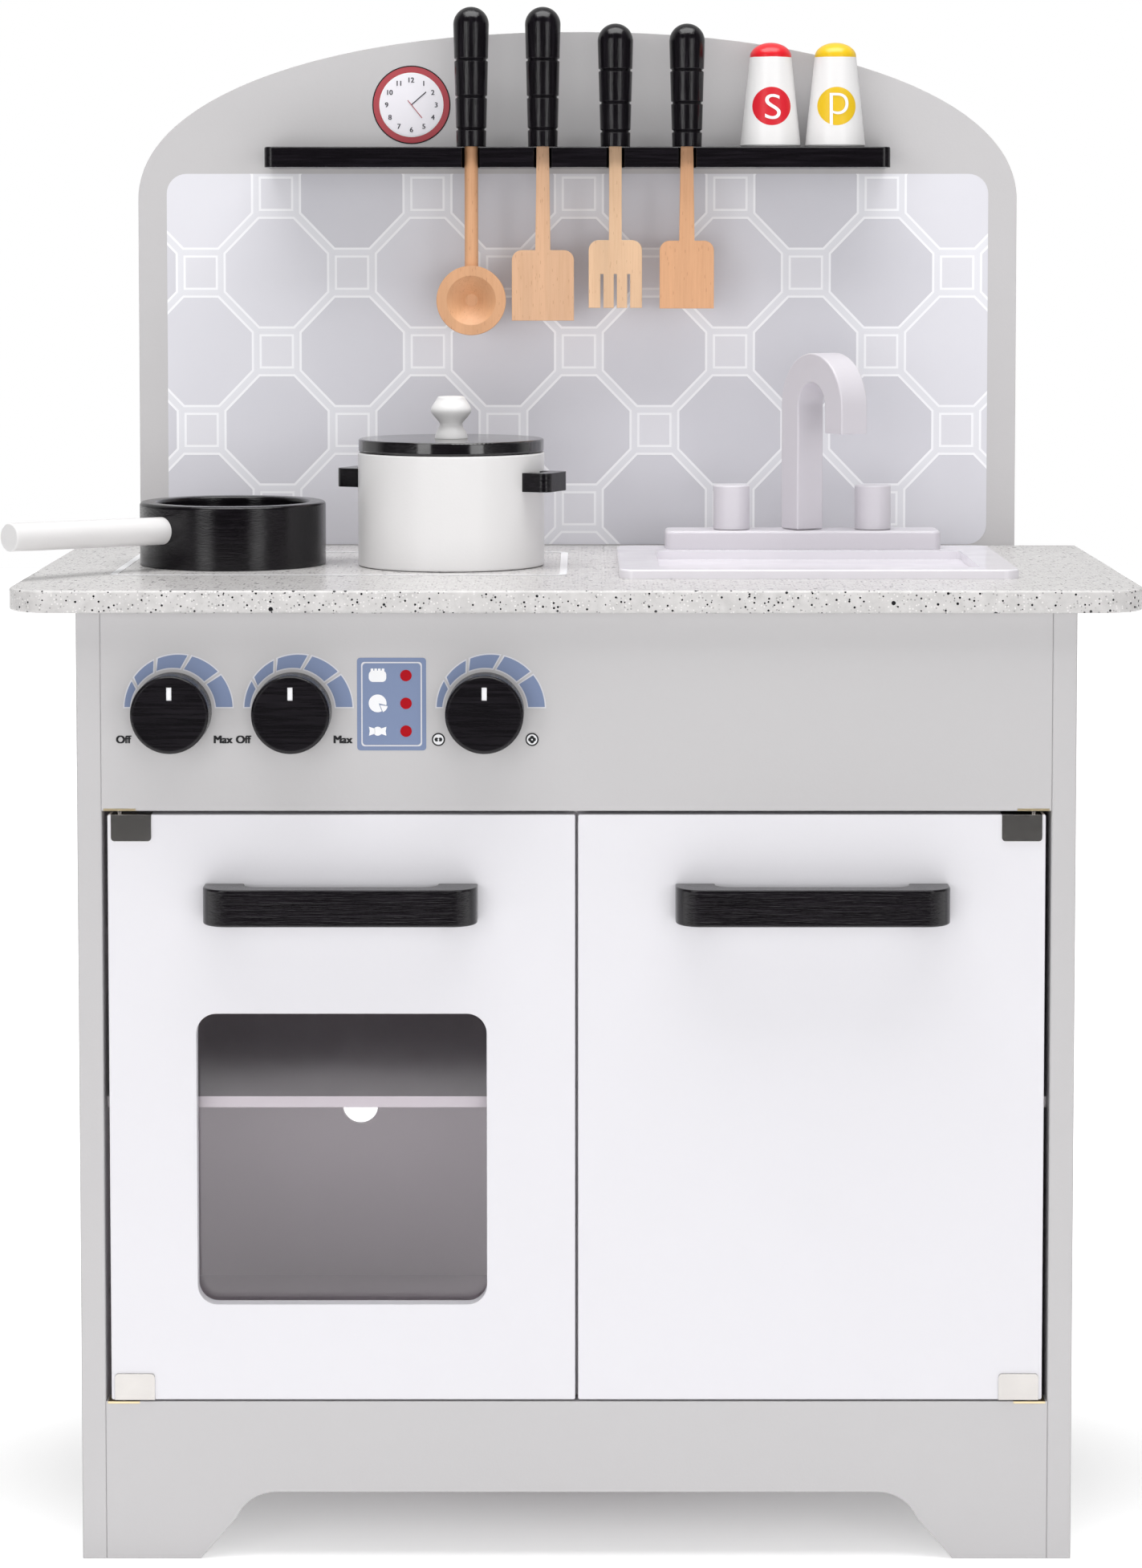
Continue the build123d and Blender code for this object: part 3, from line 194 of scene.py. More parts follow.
def bare_beech(name, colour, stretch):
    """Sanded beech: long soft bands, fine lines and short darker flecks."""
    material, tree, place = start_material(name)
    along = stretched(tree, place, stretch)
    bands = noise(tree, along, 80.0, 2.0, 0.5)
    lines = noise(tree, along, 900.0, 4.0, 0.7)
    tint = mix_colour(tree, ramp(tree, bands, 0.3, 0.7), opaque(scaled(colour, 0.90)),
                      opaque(scaled(colour, 1.08)))
    tint = mix_colour(tree, calc(tree, "MULTIPLY", ramp(tree, lines, 0.45, 0.8), 0.35), tint,
                      opaque((colour[0] * 0.72, colour[1] * 0.58, colour[2] * 0.46)))
    flecks = add_node(tree, "ShaderNodeTexVoronoi", {
        "Vector": stretched(tree, along, (1.0, 1.0, 4.0)), "Scale": 700.0})
    fleck = calc(tree, "LESS_THAN", flecks.outputs["Distance"], 0.14)
    tint = mix_colour(tree, calc(tree, "MULTIPLY", fleck, 0.4), tint,
                      opaque((colour[0] * 0.50, colour[1] * 0.32, colour[2] * 0.22)))
    return end_material(material, tint, 0.48, lines, 0.06 * MM)


def speckled_stone(name):
    """Printed granite: grey mottle, many pale and grey grains and scattered black specks."""
    material, tree, place = start_material(name)
    mottle = noise(tree, place, 160.0, 4.0, 0.6)
    tint = mix_colour(tree, ramp(tree, mottle, 0.3, 0.7), opaque(scaled(STONE, 0.90)),
                      opaque(scaled(STONE, 1.10)))
    for scale, reach, share, speck in (
        (620.0, 0.30, 0.35, scaled(STONE, 1.28)),
        (540.0, 0.26, 0.40, scaled(STONE, 0.60)),
        (400.0, 0.24, 0.36, INK),
        (190.0, 0.16, 0.40, INK),
        (95.0, 0.12, 0.26, INK),
    ):
        shifted = add_node(tree, "ShaderNodeMapping", {
            "Vector": place, "Location": (scale * 0.013, scale * 0.007, scale * 0.011)})
        cells = add_node(tree, "ShaderNodeTexVoronoi", {
            "Vector": shifted.outputs[0], "Scale": scale})
        near = calc(tree, "LESS_THAN", cells.outputs["Distance"], reach)
        pick = add_node(tree, "ShaderNodeSeparateColor", {"Color": cells.outputs["Color"]})
        chosen = calc(tree, "LESS_THAN", pick.outputs[0], share)
        tint = mix_colour(tree, calc(tree, "MULTIPLY", near, chosen), tint, opaque(speck))
    return end_material(material, tint, 0.25, mottle, 0.01 * MM, edge=1.0 * MM)


def metal(name, colour, roughness):
    """Plated sheet or screw: fine scratches and slight stains."""
    material, tree, place = start_material(name)
    scratches = noise(tree, stretched(tree, place, (1.0, 1.0, 14.0)), 260.0, 3.0)
    stain = noise(tree, place, 45.0, 2.0)
    tint = mix_colour(tree, stain, opaque(scaled(colour, 0.82)), opaque(colour))
    gloss = spread_to(tree, scratches, roughness, roughness + 0.15)
    return end_material(material, tint, gloss, scratches, 0.01 * MM, 0.3 * MM, Metallic=1.0)


def window_sheet(name):
    """Clear grey-tinted sheet: see-through, with a weak reflection and faint dust."""
    material, tree, place = start_material(name)
    dust = noise(tree, place, 90.0, 4.0)
    clear = add_node(tree, "ShaderNodeBsdfTransparent", {"Color": (0.95, 0.935, 0.95, 1.0)})
    shine = add_node(tree, "ShaderNodeBsdfGlossy", {
        "Color": (1.0, 1.0, 1.0, 1.0), "Roughness": spread_to(tree, dust, 0.03, 0.12)})
    facing = add_node(tree, "ShaderNodeFresnel", {"IOR": 1.45}).outputs[0]
    mixed = add_node(tree, "ShaderNodeMixShader", {
        0: facing, 1: clear.outputs[0], 2: shine.outputs[0]})
    add_node(tree, "ShaderNodeOutputMaterial", {"Surface": mixed.outputs[0]})
    return material


def two_tone_paint(name, body_colour, top_colour, border_z):
    """White paint below a height and a bright dipped colour above it."""
    material, tree, place = start_material(name)
    height = add_node(tree, "ShaderNodeSeparateXYZ", {"Vector": place}).outputs["Z"]
    wobble = calc(tree, "MULTIPLY", noise(tree, place, 90.0), 0.6 * MM)
    above = calc(tree, "GREATER_THAN", calc(tree, "ADD", height, wobble), border_z)
    tint = mix_colour(tree, above, opaque(body_colour), opaque(top_colour))
    grain = noise(tree, stretched(tree, place, (6.0, 6.0, 1.0)), 160.0)
    return end_material(material, tint, 0.28, grain, 0.03 * MM)


# ---------------------------------------------------------------- tile print shader

TILE_PITCH_X = 90.7 * MM
TILE_PITCH_Z = 94.4 * MM
TILE_START = Vector((-225.9 * MM, 0, 681.9 * MM))  # the middle of one small tile
SMALL_TILE = 12 * MM  # half the side of a small square tile
GROUT_HALF = 1.7 * MM
OUTLINE_HALF = 3.0 * MM


def tile_print(name):
    """Printed octagons with small squares between them, each tile with a thin white outline."""
    material, tree, place = start_material(name)
    parts = add_node(tree, "ShaderNodeSeparateXYZ", {"Vector": place})

    def from_lattice(shift_x, shift_z):
        """Signed cell numbers and distances to the nearest point of a tile lattice."""
        found = []
        for socket, start, pitch in (
            (parts.outputs["X"], TILE_START.x + shift_x * TILE_PITCH_X, TILE_PITCH_X),
            (parts.outputs["Z"], TILE_START.z + shift_z * TILE_PITCH_Z, TILE_PITCH_Z),
        ):
            cell = calc(tree, "DIVIDE", calc(tree, "SUBTRACT", socket, start), pitch)
            number = calc(tree, "ROUND", cell)
            away = calc(tree, "MULTIPLY", calc(tree, "SUBTRACT", cell, number), pitch)
            found.append((number, calc(tree, "ABSOLUTE", away)))
        return found

    border = None
    in_square = 0.0
    for shift in (0.0, 0.5):
        (_, away_x), (_, away_z) = from_lattice(shift, shift)
        outside = calc(tree, "SUBTRACT", calc(tree, "MAXIMUM", away_x, away_z), SMALL_TILE)
        in_square = calc(tree, "MAXIMUM", in_square, calc(tree, "LESS_THAN", outside, 0.0))
        distance = calc(tree, "ABSOLUTE", outside)
        border = distance if border is None else calc(tree, "MINIMUM", border, distance)
        if shift == 0.0:
            levelled = calc(tree, "MULTIPLY", away_z, TILE_PITCH_X / TILE_PITCH_Z)
            slanting = calc(tree, "ABSOLUTE", calc(tree, "SUBTRACT", away_x, levelled))
            slanting = calc(tree, "MULTIPLY", slanting, sqrt(0.5))
    slanting = calc(tree, "ADD", slanting, in_square)
    border = calc(tree, "MINIMUM", border, slanting)

    (column, away_x), (row, away_z) = from_lattice(0.5, 0.0)
    (other_column, _), (other_row, _) = from_lattice(0.0, 0.5)
    spread = calc(tree, "ADD", calc(tree, "DIVIDE", away_x, TILE_PITCH_X / 2),
                  calc(tree, "DIVIDE", away_z, TILE_PITCH_Z / 2))
    is_other = calc(tree, "GREATER_THAN", spread, 1.0)
    chosen = []
    for first, second in ((column, other_column), (row, other_row)):
        change = calc(tree, "MULTIPLY", calc(tree, "SUBTRACT", second, first), is_other)
        chosen.append(calc(tree, "ADD", first, change))
    cell_id = add_node(tree, "ShaderNodeCombineXYZ", {
        "X": chosen[0], "Y": chosen[1], "Z": calc(tree, "MULTIPLY", is_other, 5.0)}).outputs[0]
    tone = add_node(tree, "ShaderNodeTexWhiteNoise", {"Vector": cell_id}).outputs["Value"]

    cloud = noise(tree, place, 14.0, 3.0)
    octagon = mix_colour(tree, ramp(tree, tone, 0.2, 0.8), opaque(TILE_DARK),
                         opaque(TILE_LIGHT))
    tile = mix_colour(tree, in_square, octagon, opaque(SMALL_TILE_COLOUR))
    tile = mix_colour(tree, calc(tree, "MULTIPLY", cloud, 0.30), tile, opaque(TILE_CLOUD))
    line = mix_colour(tree, calc(tree, "LESS_THAN", border, GROUT_HALF), opaque(TILE_OUTLINE),
                      opaque(TILE_GROUT))
    tint = mix_colour(tree, calc(tree, "LESS_THAN", border, OUTLINE_HALF), tile, line)
    return end_material(material, tint, 0.36, cloud, 0.02 * MM)


# ---------------------------------------------------------------- finishes on the CAD pieces

ALONG_X = (0.04, 1.0, 1.0)
ALONG_Z = (1.0, 1.0, 0.04)

grey_paint = painted("grey_paint", GREY, 0.40)
inside_paint = painted("inside_paint", INSIDE, 0.45)
door_paint = painted("door_paint", WHITE_DOOR, 0.42, peel=0.02 * MM)
white_paint = painted("white_paint", WHITE_WOOD, 0.30)
silver_paint = painted("silver_paint", SILVER, 0.30, peel=0.03 * MM)
basin_paint = painted("basin_paint", BASIN_SILVER, 0.13, peel=0.01 * MM, edge=0.3 * MM, specular=1.0)
black_across = black_gloss("black_across", ALONG_X)
black_deep = black_gloss("black_deep", ALONG_X, 0.04 * MM, shine=(0.20, 0.35), specular=0.25)
black_turned = black_gloss("black_turned", ALONG_Z)
black_flat = black_gloss("black_flat", ALONG_X, 0.015 * MM, shine=(0.06, 0.16), specular=1.0)
beech = bare_beech("beech", BEECH, ALONG_Z)
orange_beech = bare_beech("orange_beech", ORANGE_BEECH, ALONG_Z)
pale_beech = bare_beech("pale_beech", PALE_BEECH, ALONG_Z)
stone = speckled_stone("speckled_stone")
zinc = metal("zinc", (0.62, 0.62, 0.63), 0.28)
nickel = metal("nickel", (0.50, 0.48, 0.465), 0.14)
brass = metal("brass", (0.74, 0.62, 0.40), 0.30)
catch_plastic = painted("catch_plastic", (0.72, 0.72, 0.72), 0.45)
window_glass = window_sheet("window_glass")

DIPPED_HEIGHT = 8.4 * MM  # the coloured top of each shaker
shaker_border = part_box("salt_shaker")[1].z - DIPPED_HEIGHT
salt_paint = two_tone_paint("salt_paint", WHITE_WOOD, SALT_RED, shaker_border)
pepper_paint = two_tone_paint("pepper_paint", WHITE_WOOD, YELLOW, shaker_border)

# Which CAD nodes wear which finish.
FINISHES = {
    grey_paint: ["side_panel_left", "side_panel_right", "control_fascia", "plinth", "splashback"],
    inside_paint: ["cabinet_floor", "centre_divider", "oven_shelf", "cupboard_shelf",
                   "cabinet_back"],
    door_paint: ["oven_door", "cupboard_door"],
    white_paint: ["pot_body", "lid_knob", "pan_handle"],
    basin_paint: ["sink_basin"],
    silver_paint: ["faucet_base", "faucet_spout", "tap_left", "tap_right"],
    black_across: ["utensil_shelf", "oven_door_handle", "cupboard_door_handle", "pan_body",
                   "pot_handles"],
    black_flat: ["pot_lid"],
    black_deep: ["hob_knob_left", "hob_knob_right", "oven_knob"],
    black_turned: ["ladle_grip", "spatula_grip", "fork_grip", "turner_grip"],
    beech: ["spatula", "worktop_dowels", "spout_dowel"],
    orange_beech: ["ladle", "turner"],
    pale_beech: ["fork"],
    stone: ["worktop"],
    zinc: ["carcass_screws", "back_screws", "window_screws", "oven_handle_screws",
           "cupboard_handle_screws", "hob_knob_left_spindle", "hob_knob_right_spindle",
           "oven_knob_spindle", "oven_strike_plate", "cupboard_strike_plate"],
    nickel: ["oven_hinge_caps", "cupboard_hinge_caps", "oven_hinge_pins",
             "cupboard_hinge_pins"],
    brass: ["hinge_plates"],
    catch_plastic: ["magnetic_catches"],
    window_glass: ["oven_window"],
    salt_paint: ["salt_shaker"],
    pepper_paint: ["pepper_shaker"],
}
for finish, names in FINISHES.items():
    for name in names:
        nodes[name].data.materials.clear()
        nodes[name].data.materials.append(finish)

# ---------------------------------------------------------------- helpers for printed pieces


def make_piece(name, points, faces, material, body):
    """A mesh piece in the row frame that moves with a CAD body."""
    mesh = bpy.data.meshes.new(name)
    mesh.from_pydata([tuple(point) for point in points], [], faces)
    mesh.update()
    piece = bpy.data.objects.new(name, mesh)
    bpy.context.collection.objects.link(piece)
    mesh.materials.append(material)
    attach(piece, body)
    return piece


def flat_print(name, outlines, face_y, material, body, layer=1):
    """Printed shapes on a face that looks towards -Y, as lists of (x, z) stacked a hair apart."""
    points = []
    faces = []
    for count, outline in enumerate(outlines):
        glow_with_painted_shadow = (layer + min(count, STACKED) / (2 * STACKED)) * PRINT_LIFT
        faces.append(list(range(len(points), len(points) + len(outline))))
        points += [Vector((x, face_y - glow_with_painted_shadow, z)) for x, z in outline]
    return make_piece(name, points, faces, material, body)


def board_print(name, outlines, face_y, material, layer=1):
    """Printed shapes on a grey board of the cabinet."""
    return flat_print(name, outlines, face_y, material, "cabinet", layer)


def arc(centre, radius, start, end, steps=24):
    """Points along an arc, angles in degrees, anticlockwise from +x."""
    angles = [radians(start + (end - start) * step / steps) for step in range(steps + 1)]
    return [(centre[0] + radius * cos(angle), centre[1] + radius * sin(angle)) for angle in angles]


def disc(centre, radius, steps=64):
    """A full circle of points."""
    return arc(centre, radius, 0, 360 - 360 / steps, steps - 1)


def rounded_box(low, high, radius):
    """A rounded rectangle from its low and high corners."""
    (x0, z0), (x1, z1) = low, high
    return (arc((x1 - radius, z0 + radius), radius, -90, 0, 8)
            + arc((x1 - radius, z1 - radius), radius, 0, 90, 8)
            + arc((x0 + radius, z1 - radius), radius, 90, 180, 8)
            + arc((x0 + radius, z0 + radius), radius, 180, 270, 8))


def ring(outer, inner):
    """Quads between two outlines with the same number of points."""
    count = len(outer)
    return [[outer[i], outer[(i + 1) % count], inner[(i + 1) % count], inner[i]]
            for i in range(count)]


def lettering(name, words, centre, height, face_y, material, body, layer=1, bold=0.0,
              thin=0.0, cuts=0):
    """Printed words of a given box height, centred on a point of a face that looks towards -Y.

    bold widens each stroke with shifted copies, thin narrows it before scaling, and cuts splits
    the letters into small facets so that they can bend.
    """
    curve = bpy.data.curves.new(name, "FONT")
    curve.body = words
    curve.offset = -thin
    letters = bpy.data.objects.new(name + "_curve", curve)
    bpy.context.collection.objects.link(letters)
    bpy.context.view_layer.update()
    flat = bpy.data.meshes.new_from_object(letters)
    bpy.data.objects.remove(letters)
    if cuts:
        holder = bpy.data.objects.new(name + "_cut", flat)
        bpy.context.collection.objects.link(holder)
        cutter = holder.modifiers.new("cuts", "SUBSURF")
        cutter.subdivision_type = "SIMPLE"
        cutter.levels = cuts
        evaluated = holder.evaluated_get(bpy.context.evaluated_depsgraph_get())
        flat = bpy.data.meshes.new_from_object(evaluated)
        bpy.data.objects.remove(holder)
    xs = [vertex.co.x for vertex in flat.vertices]
    zs = [vertex.co.y for vertex in flat.vertices]
    middle_x, middle_z = (min(xs) + max(xs)) / 2, (min(zs) + max(zs)) / 2
    scale = height / (max(zs) - min(zs))
    points = []
    faces = []
    corners = [(-bold, -bold / 4), (bold, -bold / 4), (-bold, bold / 4), (bold, bold / 4)]
    for copy, (right, up) in enumerate(corners if bold else [(0.0, 0.0)]):
        start = len(points)
        for vertex in flat.vertices:
            points.append(Vector((centre[0] + (vertex.co.x - middle_x) * scale + right,
                                  face_y - (layer + copy / 8) * PRINT_LIFT,
                                  centre[1] + (vertex.co.y - middle_z) * scale + up)))
        faces += [[start + index for index in polygon.vertices] for polygon in flat.polygons]
    return make_piece(name, points, faces, material, body)


def print_ink(name, colour, roughness=0.34, specular=0.5):
    """Flat printed colour with a faint dot texture."""
    return painted(name, colour, roughness, peel=0.02 * MM, specular=specular)


blue_ink = print_ink("blue_ink", PRINT_BLUE)
pale_ink = print_ink("pale_ink", PRINT_PALE)
white_ink = print_ink("white_ink", PRINT_WHITE)
black_ink = print_ink("black_ink", INK)
clock_ink = print_ink("clock_ink", (0.06, 0.055, 0.07))
clock_white = print_ink("clock_white", (0.86, 0.84, 0.89))
red_ink = print_ink("red_ink", RED, 0.5, specular=0.05)
clock_red = print_ink("clock_red", (0.43, 0.06, 0.075))
salt_ink = print_ink("salt_ink", (0.62, 0.012, 0.025))
pepper_ink = print_ink("pepper_ink", YELLOW)

# ---------------------------------------------------------------- splashback print

PRINT_LOW = (-246 * MM, WORKTOP_Z + 0.5 * MM)
PRINT_HIGH = (246 * MM, 741 * MM)
PRINT_CORNER = 12 * MM

board_print("tile_print", [rounded_box(PRINT_LOW, PRINT_HIGH, PRINT_CORNER)], SPLASH_FACE,
            tile_print("tile_print"))

# ---------------------------------------------------------------- clock print

CLOCK = (-99.3 * MM, 782.1 * MM)
CLOCK_RADIUS = 23.4 * MM
CLOCK_FACE_RADIUS = 19.2 * MM
CLOCK_LINE = 0.7 * MM
HOUR_REACH = CLOCK_FACE_RADIUS - 4.4 * MM
HOUR_HEIGHT = 2.9 * MM
HOUR_BOLD = 0.12 * MM

for layer, name, radius, ink in (
    (1, "clock_edge", CLOCK_RADIUS, black_ink),
    (2, "clock_ring", CLOCK_RADIUS - CLOCK_LINE, clock_red),
    (3, "clock_face_edge", CLOCK_FACE_RADIUS, white_ink),
    (4, "clock_face", CLOCK_FACE_RADIUS - CLOCK_LINE, clock_white),
):
    board_print(name, [disc(CLOCK, radius)], SPLASH_FACE, ink, layer)
for hour in range(1, 13):
    angle = radians(90 - 30 * hour)
    spot = (CLOCK[0] + HOUR_REACH * cos(angle), CLOCK[1] + HOUR_REACH * sin(angle))
    lettering(f"clock_hour_{hour}", str(hour), spot, HOUR_HEIGHT, SPLASH_FACE, clock_ink,
              "cabinet", 5, bold=HOUR_BOLD)


def hand(name, angle, length, tail_length, width, material, layer):
    """A clock hand that points at an angle, with a tail behind its pivot."""
    along = (cos(radians(angle)), sin(radians(angle)))
    side = (-along[1] * width / 2, along[0] * width / 2)
    tail = (CLOCK[0] - along[0] * tail_length, CLOCK[1] - along[1] * tail_length)
    tip = (CLOCK[0] + along[0] * length, CLOCK[1] + along[1] * length)
    outline = [(tail[0] + side[0], tail[1] + side[1]), (tip[0] + side[0], tip[1] + side[1]),
               (tip[0] - side[0], tip[1] - side[1]), (tail[0] - side[0], tail[1] - side[1])]
    board_print(name, [outline], SPLASH_FACE, material, layer)


hand("clock_long_hand", angle=41, length=11.7 * MM, tail_length=0, width=0.65 * MM,
     material=clock_ink, layer=6)
hand("clock_short_hand", angle=-51, length=10.1 * MM, tail_length=3.5 * MM, width=0.45 * MM,
     material=clock_red, layer=7)

# ---------------------------------------------------------------- hob outline

HOB_X = (-256 * MM, -5.5 * MM)
HOB_Y = (WORKTOP_FRONT + 91 * MM, WORKTOP_FRONT + 250 * MM)
HOB_LINE = 4 * MM
HOB_CORNER = 8 * MM


def on_worktop(outline):
    """Outline points laid on the worktop."""
    return [Vector((x, y, WORKTOP_Z + PRINT_LIFT)) for x, y in outline]


hob_outer = on_worktop(rounded_box((HOB_X[0], HOB_Y[0]), (HOB_X[1], HOB_Y[1]), HOB_CORNER))
hob_inner = on_worktop(rounded_box((HOB_X[0] + HOB_LINE, HOB_Y[0] + HOB_LINE),
                                   (HOB_X[1] - HOB_LINE, HOB_Y[1] - HOB_LINE),
                                   HOB_CORNER - HOB_LINE))
hob_count = len(hob_outer)
hob_faces = [[i, (i + 1) % hob_count, hob_count + (i + 1) % hob_count, hob_count + i]
             for i in range(hob_count)]
make_piece("hob_outline", hob_outer + hob_inner, hob_faces, white_ink, "cabinet")

# ---------------------------------------------------------------- control fascia print

SCALE_BASE = 2 * MM
SCALE_INNER = 22.7 * MM
SCALE_OUTER = 28.4 * MM
SCALE_SHIFT = 2.9 * MM
SCALE_RISE = 1.2 * MM
SCALE_GAPS = (180, 147, 114.6, 77.6, 40.7, 0)
GAP_HALF_ANGLE = 2.6
DEGREES_PER_RADIAN = 57.3
PRINT_EDGE = 0.7 * MM


def scale_segments(centre, grow):
    """The crescent of five segments over a knob, each grown by a margin."""
    base = centre[1] + SCALE_BASE - grow
    outer_centre = (centre[0] + SCALE_SHIFT, centre[1] + SCALE_RISE)
    segments = []
    for left, right in zip(SCALE_GAPS, SCALE_GAPS[1:]):
        margin = GAP_HALF_ANGLE - grow / SCALE_OUTER * DEGREES_PER_RADIAN
        start = left - (margin if left < 180 else 0)
        end = right + (margin if right > 0 else 0)
        outer = arc(outer_centre, SCALE_OUTER + grow, start, end, 12)
        inner = []
        for x, z in outer:
            heading = atan2(z - outer_centre[1], x - outer_centre[0])
            inner.append((centre[0] + (SCALE_INNER - grow) * cos(heading),
                          centre[1] + (SCALE_INNER - grow) * sin(heading)))
        outline = outer + inner[::-1]
        segments.append([(x, max(z, base)) for x, z in outline])
    return segments


SYMBOL_RADIUS = 3.5 * MM
SYMBOL_LINE = 0.75 * MM
SYMBOL_REACH = 24.6 * MM
PETAL_RADIUS = 1.05 * MM
PETAL_REACH = 1.0 * MM
EYE_SHARE = 0.45


def small_symbol(name, centre, petals):
    """A little circled symbol: a ring with two or four black petals round a white dot."""
    for layer, part, radius, ink in ((1, "ring", SYMBOL_RADIUS, black_ink),
                                     (2, "ground", SYMBOL_RADIUS - SYMBOL_LINE, white_ink),
                                     (4, "eye", PETAL_RADIUS * EYE_SHARE, white_ink)):
        board_print(f"{name}_{part}", [disc(centre, radius, 32)], FASCIA_FACE, ink, layer)
    shapes = []
    for petal in range(petals):
        angle = radians(360 / petals * petal)
        spot = (centre[0] + PETAL_REACH * cos(angle), centre[1] + PETAL_REACH * sin(angle))
        shapes.append(disc(spot, PETAL_RADIUS, 16))
    board_print(name + "_mark", shapes, FASCIA_FACE, black_ink, 3)


KNOBS = {"hob_knob_left": "left_knob", "hob_knob_right": "middle_knob", "oven_knob": "right_knob"}
TICK_WIDTH = 2.7 * MM
TICK_HEIGHT = 6.8 * MM
TICK_BELOW_RIM = 6 * MM
TICK_DEPTH = 0.5 * MM
WORD_DROP = 15.2 * MM
WORD_HEIGHT = 4.0 * MM
WORD_BOLD = 0.3 * MM
OFF_REACH = 26.0 * MM
MAX_REACH = 26.3 * MM

for name, body in KNOBS.items():
    knob_low, knob_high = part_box(name)
    knob_middle = (knob_low + knob_high) / 2
    centre = (knob_middle.x, knob_middle.z)
    board_print(f"{name}_scale_edge", scale_segments(centre, PRINT_EDGE), FASCIA_FACE, pale_ink)
    board_print(f"{name}_scale", scale_segments(centre, 0.0), FASCIA_FACE, blue_ink, 2)
    if name == "oven_knob":
        small_symbol("oven_low_symbol", (centre[0] - SYMBOL_REACH, centre[1] - WORD_DROP), 2)
        small_symbol("oven_high_symbol", (centre[0] + SYMBOL_REACH, centre[1] - WORD_DROP), 4)
    else:
        for word, reach in (("Off", -OFF_REACH), ("Max", MAX_REACH)):
            lettering(f"{name}_{word.lower()}", word, (centre[0] + reach, centre[1] - WORD_DROP),
                      WORD_HEIGHT, FASCIA_FACE, black_ink, "cabinet",
                      bold=WORD_BOLD)
    tick_top = knob_high.z - TICK_BELOW_RIM
    flat_print(f"{name}_tick", [[(centre[0] - TICK_WIDTH / 2, tick_top - TICK_HEIGHT),
                                 (centre[0] + TICK_WIDTH / 2, tick_top - TICK_HEIGHT),
                                 (centre[0] + TICK_WIDTH / 2, tick_top),
                                 (centre[0] - TICK_WIDTH / 2, tick_top)]],
               knob_low.y + TICK_DEPTH, white_ink, body)

# ---------------------------------------------------------------- display print

DISPLAY_LOW = (-115.3 * MM, 433 * MM)
DISPLAY_HIGH = (-79 * MM, 482 * MM)
DISPLAY_CORNER = 1.8 * MM
DISPLAY_INSET = 2.2 * MM
DISPLAY_LINE = 0.7 * MM
DOT_RADIUS = 3.05 * MM
ICON_X = -104.5 * MM
DOT_X = -89.6 * MM
ICON_ROWS = (472.6 * MM, 457.9 * MM, 443.2 * MM)


def inset_box(margin):
    """The display's outline moved in by a margin."""
    return rounded_box((DISPLAY_LOW[0] + margin, DISPLAY_LOW[1] + margin),
                       (DISPLAY_HIGH[0] - margin, DISPLAY_HIGH[1] - margin), DISPLAY_CORNER)


board_print("display_ground", [inset_box(0)], FASCIA_FACE, blue_ink)
board_print("display_line", ring(inset_box(DISPLAY_INSET), inset_box(DISPLAY_INSET + DISPLAY_LINE)),
            FASCIA_FACE, pale_ink, 2)
for row, icon_z in enumerate(ICON_ROWS):
    board_print(f"display_dot_{row}", [disc((DOT_X, icon_z), DOT_RADIUS, 32)], FASCIA_FACE,
                red_ink, 2)


def icon_points(row, places):
    """Points given in millimetres from the middle of an icon."""
    return [(ICON_X + x * MM, ICON_ROWS[row] + z * MM) for x, z in places]


# A pot with four short towers on its rim.
pot_icon = [rounded_box(*icon_points(0, [(-4.6, -3.4), (4.6, 2.6)]), 2.2 * MM)]
for tower_x in (-2.9, -0.95, 0.95, 2.9):
    tower = icon_points(0, [(tower_x - 0.7, 0), (tower_x + 0.7, 3.7)])
    pot_icon.append(rounded_box(*tower, 0.2 * MM))

# A pie with one slice pulled out.
pie_middle, pie_notch, slice_tip = icon_points(1, [(0, 0), (0.6, 0), (1.3, -0.9)])
pie_icon = [arc(pie_middle, 4.7 * MM, -12, 298, 32) + [pie_notch]]
pie_icon.append(arc(slice_tip, 4.0 * MM, -68, -8, 8) + [slice_tip])

# A wrapped sweet with a twist of paper on each side.
sweet_icon = [disc((ICON_X, ICON_ROWS[2]), 2.4 * MM, 20)]
for side in (-1, 1):
    twist = [(1.4, -1.3), (4.6, -2.4), (4.2, 0), (4.6, 2.4), (1.4, 1.3)]
    sweet_icon.append(icon_points(2, [(side * x, z) for x, z in twist]))

for name, shapes in (("pot_icon", pot_icon), ("pie_icon", pie_icon), ("sweet_icon", sweet_icon)):
    board_print(name, shapes, FASCIA_FACE, white_ink, 2)

# ---------------------------------------------------------------- shaker prints

SHAKER_PRINT_Z = 23.7 * MM
SHAKER_PRINT_RADIUS = 11.3 * MM
SHAKER_TOP_RADIUS = 12.25 * MM
SHAKER_BODY_HEIGHT = 53.3 * MM
LETTER_THIN = 0.014


def wrap_on_shaker(piece, shaker, layer):
    """Press a flat printed piece straight back on to the front of a shaker's cone."""
    low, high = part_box(shaker)
    axis_x, axis_y = (low.x + high.x) / 2, (low.y + high.y) / 2
    base_radius = (high.x - low.x) / 2
    for vertex in piece.data.vertices:
        share = (vertex.co.z - low.z) / SHAKER_BODY_HEIGHT
        radius = base_radius + (SHAKER_TOP_RADIUS - base_radius) * share + layer * PRINT_LIFT
        vertex.co.y = axis_y - sqrt(radius ** 2 - (vertex.co.x - axis_x) ** 2)
    piece.data.update()


def filled_disc_rings(centre, radius, rings=8, steps=48):
    """A disc cut into rings of quads so that it can bend."""
    outlines = []
    for step in range(rings):
        outer = disc(centre, radius * (step + 1) / rings, steps)
        inner = disc(centre, max(radius * step / rings, 0.01 * MM), steps)
        outlines += ring(outer, inner)
    return outlines


